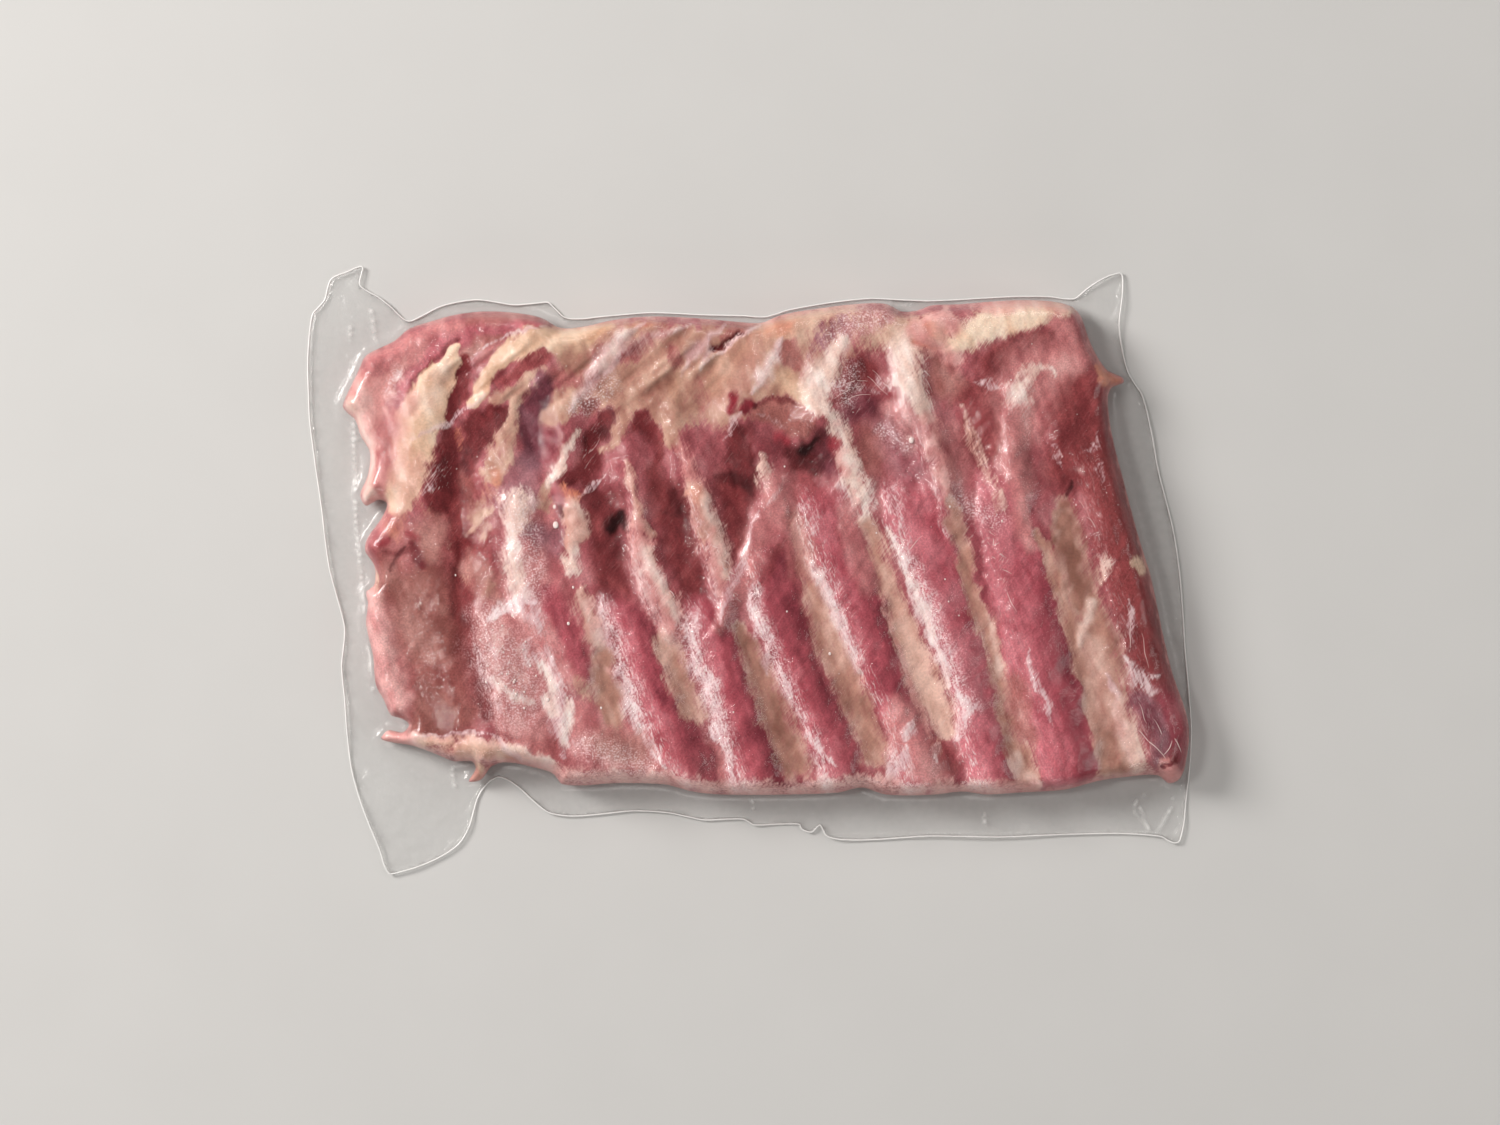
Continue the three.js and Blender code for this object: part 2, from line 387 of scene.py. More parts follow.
# Dark troughs between the upper ribs, with their redder feet: darker lean, partly its own colour and partly
# painted shade
DARK_AND_SHADED_TROUGHS = mark_rows(
    (DARK_LEAN, ((452, 478, 20), (462, 515, 26), (470, 555, 26), (480, 590, 22)), 0.88, 0.7, 0.4),
    (RICH_LEAN, ((556, 560, 9), (564, 600, 14), (580, 650, 14)), 0.8, 0.6),
    (DARK_LEAN, ((600, 486, 16), (608, 530, 18), (612, 575, 15), (624, 625, 12)), 0.95, 0.5),
    (RICH_LEAN, ((626, 620, 12), (645, 662, 14), (660, 705, 13)), 0.8, 0.6),
    (DARK_LEAN, ((660, 476, 14), (676, 510, 18), (684, 560, 16), (698, 605, 13)), 0.95, 0.5),
    (RICH_LEAN, ((702, 610, 12), (718, 650, 14), (738, 700, 15)), 0.85, 0.6),
    (DARK_LEAN, ((728, 446, 14), (733, 485, 18), (740, 530, 14), (742, 565, 10)), 0.95, 0.5),
    (DARK_LEAN, ((800, 480, 16), (815, 520, 14), (828, 560, 12)), 0.5, 0.7, 0.4),
    (DARK_LEAN, ((778, 560, 10), (790, 605, 12), (804, 650, 12), (815, 690, 12)), 0.7, 0.6, 0.2),
)

# Red lean between the bared bones, and its shaded sides
RED_LEAN = mark_rows(
    (RICH_LEAN, ((842, 540, 12), (862, 590, 16), (880, 640, 17), (892, 690, 16), (905, 735, 14)), 0.85, 0.6,
     -0.1),
    (RICH_LEAN, ((925, 540, 18), (950, 600, 24), (970, 650, 26), (985, 710, 26), (990, 765, 22)), 0.9, 0.6,
     0.15),
    (RICH_LEAN, ((1025, 560, 18), (1042, 610, 24), (1060, 670, 26), (1070, 730, 28), (1068, 775, 22)), 0.95,
     0.5, -0.02),
    (RICH_LEAN, ((973, 528, 7), (982, 566, 9), (990, 604, 7)), 0.7, 0.8, -0.3),
    (RICH_LEAN, ((975, 620, 8), (993, 680, 10), (1005, 735, 12), (1012, 775, 10)), 0.7, 0.7, -0.35),
    (RICH_LEAN, ((1058, 600, 9), (1074, 655, 11), (1085, 705, 13), (1088, 755, 14)), 0.8, 0.7, -0.4),
)

# Dark lean at the right
RIGHT_LEAN = mark_rows(
    (DARK_LEAN, ((958, 392, 12), (985, 398, 20), (984, 440, 21)), 0.85, 0.7, 0.25),
    (DARK_LEAN, ((1060, 360, 16), (1075, 390, 28), (1082, 430, 32), (1066, 470, 20)), 0.95, 0.7, 0.16),
    (DARK_LEAN, ((1106, 460, 20), (1122, 530, 22), (1138, 590, 24), (1154, 650, 22)), 0.95, 0.5, 0.3),
)
BROAD_FIELDS = UPPER_TAN_FAT + THIN_END + DARK_AND_SHADED_TROUGHS + RED_LEAN + RIGHT_LEAN

# Pink lobe at the left end, and the red muscle over the top
PINK_LOBE = mark_rows(
    (PINK_FAT, ((392, 362, 14), (372, 388, 22), (362, 402, 17), (376, 430, 21), (382, 462, 17),
     (374, 492, 12)), 1, 0.35, -0.2, 0.4),
    (ROSE_LEAN, ((386, 436, 13), (388, 470, 10)), 0.7, 0.8, 0.05),
    # Whitish rim along the left edge: painted light on the sloping edge
    (WHITE_FAT, ((350, 403, 9), (358, 420, 6), (367, 444, 5), (370, 472, 4), (366, 496, 7)), 0.85, 0.8,
     0.1),
    (RUST, ((372, 356, 6), (384, 350, 4)), 0.5, 0.7, 0.3),
    (ROSE_LEAN, ((376, 364, 11), (410, 350, 16), (450, 332, 14), (500, 322, 11), (540, 319, 6)), 1, 0.3,
     -0.1, 0.5),
    (RICH_LEAN, ((545, 320, 3), (500, 330, 6), (462, 338, 8), (438, 350, 10), (420, 376, 9), (406, 394, 5)),
     0.85, 0.7, 0.2),
    (PINK_FAT, ((406, 360, 8), (394, 376, 10), (388, 392, 9)), 0.6, 0.9, 0.05),
    (PINK_FAT, ((361, 388, 8), (366, 420, 6), (374, 446, 5)), 0.6, 0.9, 0.3),
    (MEMBRANE, ((470, 318, 5), (500, 317, 5), (535, 318, 4)), 0.5, 0.8),
    (MEMBRANE, ((500, 338, 5), (478, 346, 7), (464, 356, 6)), 0.8, 0.5),
)

# Cream wedge between dark bands
CREAM_WEDGE = mark_rows(
    # Thin dark line along the crease above the wedge: painted shade
    (DARK_LEAN, ((456, 342, 3), (440, 356, 3), (424, 373, 3), (410, 392, 3)), 0.5, 0.6, 0, -1),
    (DARK_LEAN, ((464, 360, 4), (462, 376, 9), (458, 392, 11), (452, 408, 10), (446, 418, 6)), 1, 0.3, 0,
     -0.1),
    (CREAM_FAT, ((455, 347, 4), (450, 360, 9), (438, 378, 15), (426, 398, 20), (420, 420, 22),
     (417, 440, 20), (413, 460, 20), (407, 480, 19), (399, 498, 15), (394, 510, 8)), 1, 0.22, 0, 0.6),
    # Whiter strip at the wedge's upper left: a painted highlight
    (WHITE_FAT, ((448, 364, 6), (438, 382, 9), (430, 400, 10)), 0.4, 0.9),
    (PINK_FAT, ((414, 470, 14), (404, 496, 13), (394, 515, 9)), 0.45, 0.6, -0.1),
    (PINK_FAT, ((414, 392, 6), (401, 420, 9), (395, 450, 9), (389, 480, 7)), 0.7, 0.9, -0.2),
    (RUST, ((400, 520, 8), (390, 534, 6)), 0.5, 0.7, 0.3),
    (DARK_LEAN, ((450, 432, 7), (447, 450, 11), (446, 468, 15), (446, 486, 17), (440, 502, 12)), 0.97, 0.35,
     -0.1, -0.1),
    (FASCIA, ((440, 462, 4), (436, 480, 5), (426, 496, 4)), 0.6, 0.9),
    (MEMBRANE, ((466, 470, 6), (468, 492, 8), (462, 506, 6)), 0.6, 0.9, -0.3),
)

# Second cream band and the folds under it
CREAM_BAND = mark_rows(
    (FASCIA, ((480, 350, 3), (472, 362, 4), (468, 374, 3)), 0.55, 0.6, -0.3),
    (ROSE_LEAN, ((504, 346, 6), (488, 354, 7), (478, 366, 6)), 0.9, 0.4, -0.3),
    (CREAM_FAT, ((604, 332, 9), (574, 337, 15), (545, 338, 15), (520, 344, 12), (503, 356, 9),
     (490, 372, 8), (479, 390, 7), (471, 404, 4)), 1, 0.35, -0.1, 0.6),
    (DARK_LEAN, ((542, 357, 6), (522, 366, 9), (505, 378, 6)), 0.85, 0.5, 0.3, -0.1),
    (TAN_FAT, ((546, 372, 7), (528, 386, 10), (508, 393, 8), (490, 400, 5)), 0.95, 0.4, 0.15, 0.3),
)

# Dark window and the tan island beside it
DARK_WINDOW = mark_rows(
    (DARK_LEAN, ((504, 409, 7), (491, 417, 14), (479, 430, 16), (472, 446, 13), (468, 464, 9)), 1, 0.25,
     -0.15, -0.15),
    (RUST, ((459, 428, 3), (460, 438, 4), (461, 450, 3)), 0.45, 0.7),
    (TAN_FAT, ((515, 404, 7), (514, 424, 8), (505, 440, 13), (500, 456, 14), (492, 472, 11)), 0.97, 0.35,
     0.2, 0.4),
    (MEMBRANE, ((508, 446, 6), (500, 452, 5)), 0.4, 0.9),
    (RUST, ((495, 473, 5), (494, 480, 5)), 0.8, 0.6, 0.1),
    (RUST, ((486, 488, 8), (494, 496, 8)), 0.45, 0.8, 0.3),
)

# Purple column, with cream and dark spots round it
PURPLE_COLUMN = mark_rows(
    (PURPLE_LEAN, ((545, 378, 9), (540, 394, 12), (534, 410, 12), (530, 428, 12), (533, 444, 12),
     (530, 458, 10)), 0.97, 0.45, -0.12, -0.1),
    (PURPLE_LEAN, ((526, 468, 12), (520, 484, 15), (516, 496, 14)), 0.6, 0.8, 0.45),
    (MEMBRANE, ((560, 376, 9), (578, 380, 10), (590, 374, 8)), 0.6, 0.8),
    (TAN_FAT, ((549, 418, 9), (562, 411, 10), (580, 398, 8), (596, 387, 6)), 0.95, 0.5, 0.2),
    (RICH_LEAN, ((553, 436, 5), (549, 448, 6), (546, 458, 4)), 0.8, 0.6, -0.35),
    (MEMBRANE, ((588, 408, 7), (596, 402, 5)), 0.8, 0.6, -0.4, -0.1),
)

# Dark hatches under the tan fat, between tan and pink tongues
DARK_HATCHES = mark_rows(
    (DARK_LEAN, ((606, 420, 9), (599, 434, 9), (588, 446, 6)), 1, 0.4, -0.25, -0.1),
    (DARK_LEAN, ((594, 460, 10), (580, 471, 9), (566, 480, 6)), 0.95, 0.5, -0.2, -0.1),
    (TAN_FAT, ((622, 420, 7), (618, 440, 6), (604, 452, 4)), 0.8, 0.7),
    (DARK_LEAN, ((642, 418, 8), (643, 428, 10), (656, 440, 8), (660, 454, 6)), 0.95, 0.45, -0.1, -0.1),
    (LEAN, ((608, 476, 11), (622, 462, 13), (640, 450, 11)), 0.95, 0.5, -0.15, 0.2),
    (TAN_FAT, ((672, 390, 14), (672, 418, 10), (673, 442, 7)), 0.95, 0.5, 0.05, 0.4),
    (PINK_FAT, ((680, 452, 7), (690, 446, 7)), 0.6, 0.7, -0.2),
    (LEAN, ((676, 470, 9), (692, 472, 9)), 0.8, 0.6, -0.1, 0.2),
    (LEAN, ((702, 440, 13), (712, 456, 14), (722, 446, 10)), 0.9, 0.6, -0.05, 0.1),
)

# Mixed fat below the window
MIXED_FAT = mark_rows(
    (TAN_FAT, ((484, 504, 9), (476, 522, 8)), 0.55, 0.9),
    (TAN_FAT, ((468, 530, 7), (452, 542, 8)), 0.4, 0.9),
    (TAN_FAT, ((440, 524, 10), (424, 516, 9)), 0.4, 0.9),
    (RUST, ((574, 496, 8), (566, 487, 5)), 0.7, 0.7, 0.1),
)

# Painted shade beside the ridges and in a hollow of the tan fat, and red blushes
TAN_SHADES = mark_rows(
    (MEMBRANE, ((618, 328, 5), (604, 342, 6), (590, 356, 5)), 0.55, 0.8, -0.1, -0.1),
    (RUST, ((630, 324, 5), (650, 323, 4)), 0.5, 0.8, -0.3),
    (MEMBRANE, ((671, 346, 5), (672, 358, 6), (676, 368, 4)), 0.7, 0.7, -0.3, -0.1),
    (RICH_LEAN, ((627, 360, 6), (631, 357, 5)), 0.55, 0.8),
    (MEMBRANE, ((748, 325, 5), (736, 331, 6), (726, 338, 5)), 0.75, 0.6, -0.1),
)

# Cleft, painted dark as shade in its crease, and the plateau under it, with painted shade at its left
CLEFT = mark_rows(
    (DARK_LEAN, ((712, 352, 3), (724, 346, 4), (738, 335, 3)), 1, 0.4, -0.3, -1.4),
    (PINK_FAT, ((744, 356, 14), (732, 378, 16), (722, 398, 12)), 0.45, 0.9),
    (CREAM_FAT, ((742, 350, 12), (726, 370, 15), (716, 388, 12)), 0.45, 0.95, -0.5),
    (MEMBRANE, ((700, 384, 6), (702, 402, 7), (698, 416, 5)), 0.5, 0.8, 0, -0.1),
    (MEMBRANE, ((790, 352, 10), (797, 364, 10)), 0.9, 0.5, -0.05),
    (RUST, ((768, 333, 8), (778, 329, 8), (788, 329, 7)), 0.7, 0.85, 0.05),
)

# Lilac haze at the rim and the first white column
FIRST_COLUMN = mark_rows(
    (PURPLE_LEAN, ((824, 336, 10), (838, 328, 10)), 0.7, 0.8, 0.35),
    (ROSE_LEAN, ((838, 352, 8), (848, 338, 10), (868, 322, 14), (886, 316, 8)), 0.6, 0.8, 0.1),
    (CREAM_FAT, ((785, 384, 12), (798, 392, 14), (806, 400, 10)), 0.85, 0.6, -0.2, 0.2),
    (WHITE_FAT, ((840, 342, 6), (829, 364, 9), (819, 386, 13), (817, 408, 12)), 0.95, 0.85, 0.15, 0.4),
)

# Dark patch between the white columns
DARK_PATCH = mark_rows(
    (DARK_LEAN, ((866, 370, 12), (858, 380, 17), (862, 396, 19), (862, 410, 15)), 0.95, 0.7, 0, -0.1),
    (PURPLE_LEAN, ((864, 408, 16), (850, 416, 10)), 0.7, 0.7, -0.1),
    (DARK_LEAN, ((834, 404, 2), (848, 392, 3), (862, 386, 2)), 0.7, 0.6, -0.3),
)

# Second white column, with its spur, fibres and foot
SECOND_COLUMN = mark_rows(
    (WHITE_FAT, ((905, 336, 10), (905, 358, 15), (908, 382, 16), (914, 402, 12), (925, 418, 6)), 0.95, 0.9,
     0.15, 0.4),
    (WHITE_FAT, ((914, 392, 6), (926, 404, 6), (930, 420, 3)), 0.7, 0.9),
    (FASCIA, ((872, 372, 5), (884, 384, 6), (894, 394, 5)), 0.65, 0.8),
    (BLOOD, ((891, 396, 4), (896, 392, 3)), 0.7, 0.7, 0.2),
    (ROSE_LEAN, ((890, 410, 9), (903, 424, 11), (908, 444, 8)), 0.8, 0.7, 0.15),
    (WHITE_FAT, ((910, 439, 3), (913, 441, 2)), 0.95, 0.5, 0.3, 0.4),
)

# Pink knuckle and the cream bar at the corner
PINK_KNUCKLE = mark_rows(
    (PINK_FAT, ((922, 330, 14), (944, 318, 12), (952, 326, 9)), 0.95, 0.35, 0.1, 0.6),
    (RUST, ((914, 342, 2), (928, 348, 2), (942, 347, 2), (954, 341, 2)), 0.7, 0.6, 0, -0.5),
    (RUST, ((936, 334, 6), (930, 326, 5)), 0.6, 0.7, 0.2),
    (CREAM_FAT, ((946, 346, 5), (960, 341, 10), (980, 331, 15), (1004, 320, 18), (1040, 312, 15),
     (1064, 311, 11)), 1, 0.55, 0.25, 0.5),
    (PINK_FAT, ((985, 306, 7), (1030, 304, 6), (1066, 308, 6)), 0.7, 0.5),
    (DARK_LEAN, ((990, 364, 12), (1004, 357, 15), (1024, 346, 11), (1046, 336, 7)), 0.9, 0.6, 0.15),
    (MEMBRANE, ((940, 366, 10), (946, 382, 12)), 0.8, 0.85, 0.2),
    (PINK_FAT, ((928, 343, 9), (944, 350, 9), (956, 357, 8)), 0.85, 0.9),
)

# Pale hook, its wisp and the spike
PALE_HOOK = mark_rows(
    (ROSE_LEAN, ((1062, 326, 11), (1068, 342, 14), (1084, 356, 10)), 0.85, 0.8, -0.15),
    (ROSE_LEAN, ((1066, 362, 12), (1036, 367, 20), (1022, 394, 21), (1020, 430, 15)), 0.85, 0.95, 0, 0.2),
    (WHITE_FAT, ((1056, 373, 4), (1040, 369, 7), (1026, 374, 9)), 0.7, 0.95, 0.15, 0.1),
    (WHITE_FAT, ((1019, 386, 9), (1018, 404, 11), (1024, 420, 6)), 0.92, 0.95, 0.3, 0.1),
    (FASCIA, ((1004, 386, 5), (988, 383, 5), (972, 381, 3)), 0.7, 0.95),
    (RUST, ((1098, 366, 4), (1106, 376, 7), (1122, 380, 5)), 0.9, 0.4, 0.1),
)

# Flap in the middle
MIDDLE_FLAP = mark_rows(
    (DARK_LEAN, ((740, 436, 10), (744, 460, 13), (742, 486, 14)), 0.97, 0.6, -0.25, -0.1),
    (MEMBRANE, ((764, 412, 10), (784, 414, 14), (802, 424, 12)), 0.92, 0.45, -0.15, 0.3),
    (DARK_LEAN, ((754, 406, 3), (772, 400, 3), (792, 402, 2)), 0.7, 0.6, -0.2, -0.1),
    (FASCIA, ((762, 416, 4), (776, 422, 5), (786, 430, 4)), 0.5, 0.9),
    (MEMBRANE, ((872, 436, 14), (870, 462, 13)), 0.75, 0.8, -0.3),
)

# Clot, and the blood round it
BLOOD_CLOT = mark_rows(
    (BLOOD, ((764, 446, 6), (780, 448, 9), (798, 452, 9)), 0.55, 0.9, -0.4),
    (DARK_LEAN, ((786, 452, 5), (798, 458, 6), (816, 466, 6)), 0.8, 0.7, -0.3),
    (BLOOD, ((779, 436, 4), (786, 441, 3)), 0.7, 0.7, 0.35),
    (PURPLE_LEAN, ((824, 438, 6), (824, 456, 7), (830, 470, 6)), 0.75, 0.7),
    # Painted shade round the clot
    (DARK_LEAN, ((820, 438, 7), (812, 449, 12), (802, 456, 10)), 0.8, 0.9, -0.45),
    (CLOT, ((817, 440, 4), (811, 449, 7), (804, 454, 7)), 1, 0.75, -0.4, -0.1),
    (BLOOD, ((839, 440, 3), (833, 446, 4)), 0.7, 0.9, 0.5),
    (BLOOD, ((847, 463, 4), (841, 470, 4)), 0.8, 0.7, 0.3),
    (BLOOD, ((733, 409, 5), (735, 398, 5)), 0.95, 0.8, -0.25),
    (BLOOD, ((746, 411, 5), (751, 403, 5)), 0.95, 0.8, -0.4),
    (CLOT, ((755, 410, 3), (757, 404, 3)), 0.8, 0.7),
    (BLOOD, ((766, 463, 4), (768, 468, 3)), 0.85, 0.7, 0.3),
)

# Cream and lilac right of the clot
BESIDE_CLOT = mark_rows(
    (WHITE_FAT, ((828, 410, 7), (836, 422, 9), (844, 440, 8), (850, 460, 8)), 0.9, 0.95, 0.08, 0.1),
    (PURPLE_LEAN, ((884, 424, 12), (900, 444, 14), (908, 470, 12)), 0.45, 0.9, 0.15),
    (WHITE_FAT, ((962, 408, 4), (972, 440, 6), (988, 472, 6), (1000, 510, 5)), 0.6, 0.9, -0.2, 0.3),
    (ROSE_LEAN, ((950, 434, 8), (956, 454, 9), (963, 476, 7)), 0.65, 0.9, -0.1),
)

# Hole, shadows in the troughs, and a slit
HOLES = mark_rows(
    (CLOT, ((620, 513, 6), (618, 522, 8), (614, 531, 6)), 1, 0.7, -0.4, -0.1),
    (CLOT, ((675, 495, 9), (672, 505, 8)), 0.6, 0.9, 0, -0.1),
    (CLOT, ((746, 484, 7), (730, 476, 5), (716, 476, 3)), 0.7, 0.8, 0, -0.1),
    (CLOT, ((1064, 496, 2), (1071, 483, 2)), 0.8, 0.4, 0, -0.1),
)

# First rib
FIRST_RIB = mark_rows(
    (FASCIA, ((532, 500, 13), (536, 513, 11)), 0.75, 0.8, -0.3, 0.4),
    (TAN_FAT, ((546, 490, 6), (545, 508, 6)), 0.75, 0.7, 0.1),
    (PURPLE_LEAN, ((534, 532, 9), (552, 540, 11)), 0.75, 0.8, 0.25, -0.3),
    (WHITE_FAT, ((516, 499, 13), (518, 512, 14), (515, 531, 9)), 0.92, 0.85, 0.08, 0.3),
    (DARK_LEAN, ((560, 507, 4), (561, 515, 3)), 0.85, 0.6, -0.3),
    (WHITE_FAT, ((513, 546, 8), (515, 567, 10), (521, 594, 9)), 0.88, 0.85, 0.1, 0.25),
    (ROSE_LEAN, ((532, 562, 9), (538, 584, 10)), 0.55, 0.95, 0.15),
    (FASCIA, ((526, 588, 9), (532, 606, 12), (540, 632, 9)), 0.75, 0.9),
    (RICH_LEAN, ((548, 590, 8), (562, 618, 12), (578, 650, 12), (590, 672, 9)), 0.9, 0.6, -0.05),
    (FASCIA, ((545, 640, 7), (548, 670, 8)), 0.6, 0.9, 0, 0.4),
)

# Second rib
SECOND_RIB = mark_rows(
    (WHITE_FAT, ((573, 511, 12), (576, 526, 14), (571, 545, 9)), 0.97, 0.35, -0.35, 1),
    (WHITE_FAT, ((574, 555, 9), (572, 571, 8)), 0.85, 0.7, 0, 0.6),
    (WHITE_FAT, ((580, 588, 6), (586, 604, 10), (592, 622, 11), (598, 646, 8)), 0.85, 0.75, -0.35, 0.6),
    (FASCIA, ((602, 602, 6), (606, 632, 8), (612, 656, 7)), 0.75, 0.8, -0.15, 0.3),
    (BONE, ((602, 660, 10), (606, 690, 14), (612, 718, 11)), 1, 0.6, 0, -0.5),
    (TAN_FAT, ((580, 682, 8), (588, 698, 7)), 0.6, 0.8, 0.2),
    (FASCIA, ((616, 650, 4), (621, 668, 5), (624, 688, 6), (632, 712, 8), (646, 742, 7), (664, 768, 6)),
     0.9, 0.6, 0.1, 0.4),
)

# Third rib
THIRD_RIB = mark_rows(
    (WHITE_FAT, ((628, 462, 4), (631, 478, 5), (635, 500, 6), (639, 518, 7)), 0.8, 0.8, -0.5, 0.3),
    (WHITE_FAT, ((638, 523, 6), (654, 533, 5)), 0.9, 0.4, -0.4, 0.5),
    (PINK_FAT, ((638, 528, 8), (642, 556, 10), (652, 584, 13), (664, 612, 15), (671, 632, 10)), 0.85, 0.95,
     -0.1, 0.3),
    (WHITE_FAT, ((647, 552, 5), (650, 566, 7), (658, 582, 5), (668, 604, 8), (676, 614, 6)), 0.75, 0.95,
     0.15, 0.2),
    (BONE, ((664, 645, 11), (680, 680, 12), (694, 712, 10)), 0.85, 0.6, 0.15, -0.4),
    (FASCIA, ((684, 622, 6), (696, 656, 8), (710, 694, 8), (720, 735, 6), (736, 778, 5)), 0.85, 0.8, 0,
     0.3),
)

# Fourth rib
FOURTH_RIB = mark_rows(
    (PINK_FAT, ((688, 464, 7), (694, 486, 10), (703, 512, 12), (713, 548, 13), (724, 582, 9),
     (732, 604, 6)), 0.85, 0.9, -0.05, 0.3),
    (WHITE_FAT, ((704, 500, 5), (712, 524, 8), (720, 548, 7), (728, 576, 5)), 0.85, 0.95, 0.1, 0.2),
    (TAN_FAT, ((690, 484, 5), (696, 508, 6), (702, 536, 5)), 0.6, 0.9, 0.2),
    (RUST, ((690, 493, 5), (694, 502, 4)), 0.5, 0.7),
    (BONE, ((740, 628, 8), (757, 672, 12), (776, 714, 15), (797, 762, 13)), 0.85, 0.5, -0.2, -0.6),
    (FASCIA, ((746, 586, 5), (757, 612, 7), (767, 645, 6), (765, 676, 4)), 0.85, 0.8, 0, 0.3),
)

# Fifth rib
FIFTH_RIB = mark_rows(
    (WHITE_FAT, ((764, 456, 5), (767, 472, 9), (772, 492, 9), (782, 512, 7)), 0.75, 0.9, -0.05, 0.5),
    (BONE, ((791, 516, 5), (803, 556, 8), (818, 608, 12), (838, 660, 14), (857, 705, 14), (876, 754, 12)),
     0.85, 0.5, 0.02, -0.6),
    (MEMBRANE, ((792, 520, 9), (800, 545, 10), (807, 572, 8)), 0.6, 0.9, 0.05),
    (FASCIA, ((812, 560, 4), (826, 592, 5), (838, 618, 5), (850, 648, 5), (858, 672, 4)), 0.9, 0.7, 0, 0.2),
    (FASCIA, ((779, 668, 4), (792, 700, 4), (808, 733, 5), (834, 766, 4)), 0.8, 0.6, 0, 0.2),
)

# Sixth rib
SIXTH_RIB = mark_rows(
    (WHITE_FAT, ((848, 458, 9), (855, 486, 13), (861, 506, 12), (869, 530, 8)), 0.92, 0.95, 0.15, 0.3),
    (BLOOD, ((856, 500, 2), (860, 512, 3)), 0.6, 0.9, 0.5),
    (BONE, ((868, 526, 7), (886, 580, 11), (902, 628, 12)), 0.9, 0.8, 0.2, -0.5),
    (BONE, ((902, 630, 12), (921, 672, 15), (938, 710, 13), (946, 732, 8)), 0.95, 0.7, 0.5, -0.5),
    (FASCIA, ((889, 530, 4), (903, 562, 7), (919, 598, 7), (931, 636, 6), (945, 672, 5), (949, 692, 4)),
     0.95, 0.7, 0, 0.4),
    (WHITE_FAT, ((888, 532, 3), (898, 556, 4), (911, 580, 4.5), (922, 604, 4.5), (931, 632, 4),
     (944, 666, 3.5), (948, 690, 3)), 0.6, 0.9, 0.4, 0.2),
    (FASCIA, ((957, 688, 6), (966, 712, 10), (958, 738, 7)), 0.95, 0.8, 0.1, 0.3),
    (PINK_FAT, ((880, 600, 2), (898, 650, 2), (915, 700, 3), (930, 735, 3)), 0.7, 0.6),
)

# Seventh rib
SEVENTH_RIB = mark_rows(
    (PINK_FAT, ((928, 418, 8), (938, 452, 12), (947, 490, 9), (954, 525, 6)), 0.75, 0.85, -0.2, 0.5),
    (BONE, ((950, 500, 5), (960, 546, 7), (976, 600, 8), (990, 645, 9), (1004, 692, 10), (1014, 738, 11),
     (1030, 784, 10)), 0.85, 0.6, 0, -0.5),
    (WHITE_FAT, ((988, 625, 3), (996, 650, 4), (1001, 675, 4)), 0.7, 0.8, -0.2),
    (MEMBRANE, ((1012, 682, 9), (1018, 705, 10), (1026, 735, 8)), 0.75, 0.6),
    (WHITE_FAT, ((1014, 760, 6), (1023, 778, 9), (1034, 788, 7)), 0.95, 0.8, -0.05),
    (FASCIA, ((1024, 648, 4), (1036, 684, 6), (1048, 708, 4), (1055, 726, 3)), 0.85, 0.6, 0, 0.2),
)

# Eighth and last ribs
LAST_RIBS = mark_rows(
    (ROSE_LEAN, ((1016, 418, 12), (1015, 456, 12), (1020, 505, 8), (1032, 545, 6)), 0.9, 0.8, -0.02, 0.4),
    (BONE, ((1036, 532, 4), (1050, 560, 5), (1062, 607, 6), (1076, 642, 7), (1089, 687, 8), (1100, 730, 8),
     (1108, 768, 8)), 0.85, 0.5, 0.1, -0.2),
    (BONE, ((1060, 502, 7), (1068, 530, 14), (1074, 562, 15), (1084, 598, 13), (1098, 642, 20),
     (1106, 690, 20), (1114, 735, 17), (1122, 766, 14)), 0.9, 0.75, -0.3, -0.3),
    (WHITE_FAT, ((1092, 646, 10), (1098, 676, 12), (1108, 720, 10)), 0.65, 0.95, -0.25),
    (FASCIA, ((1106, 672, 4), (1118, 700, 5), (1124, 735, 6), (1132, 765, 5)), 0.95, 0.8, 0, 0.2),
    (BONE, ((1064, 520, 10), (1070, 552, 12), (1075, 585, 11), (1078, 606, 8)), 0.85, 0.8, -0.48),
)

# Right end, with its knot of white sheath
RIGHT_END = mark_rows(
    (WHITE_FAT, ((1090, 604, 5), (1084, 630, 6), (1081, 648, 4)), 0.8, 0.6, 0, 0.4),
    (WHITE_FAT, ((1118, 700, 8), (1124, 722, 9), (1130, 748, 10), (1142, 768, 8)), 0.85, 0.8, -0.15, 0.2),
    (FASCIA, ((1124, 655, 4), (1131, 670, 7), (1144, 681, 7), (1160, 674, 4)), 1, 0.85, 0.2, 0.2),
    (PURPLE_LEAN, ((1138, 702, 9), (1154, 718, 15), (1166, 738, 12), (1160, 757, 8)), 0.9, 0.5, 0.08),
    (FASCIA, ((1142, 684, 6), (1152, 692, 6), (1162, 694, 4)), 0.6, 0.95),
    (RICH_LEAN, ((1168, 700, 10), (1180, 725, 9), (1183, 750, 7)), 0.7, 0.5, -0.1),
    (PINK_FAT, ((1170, 764, 8), (1172, 775, 8)), 0.95, 0.4, -0.1, 0.5),
    (DARK_LEAN, ((1166, 766, 2), (1178, 759, 2)), 0.7, 0.5, 0, -0.4),
)

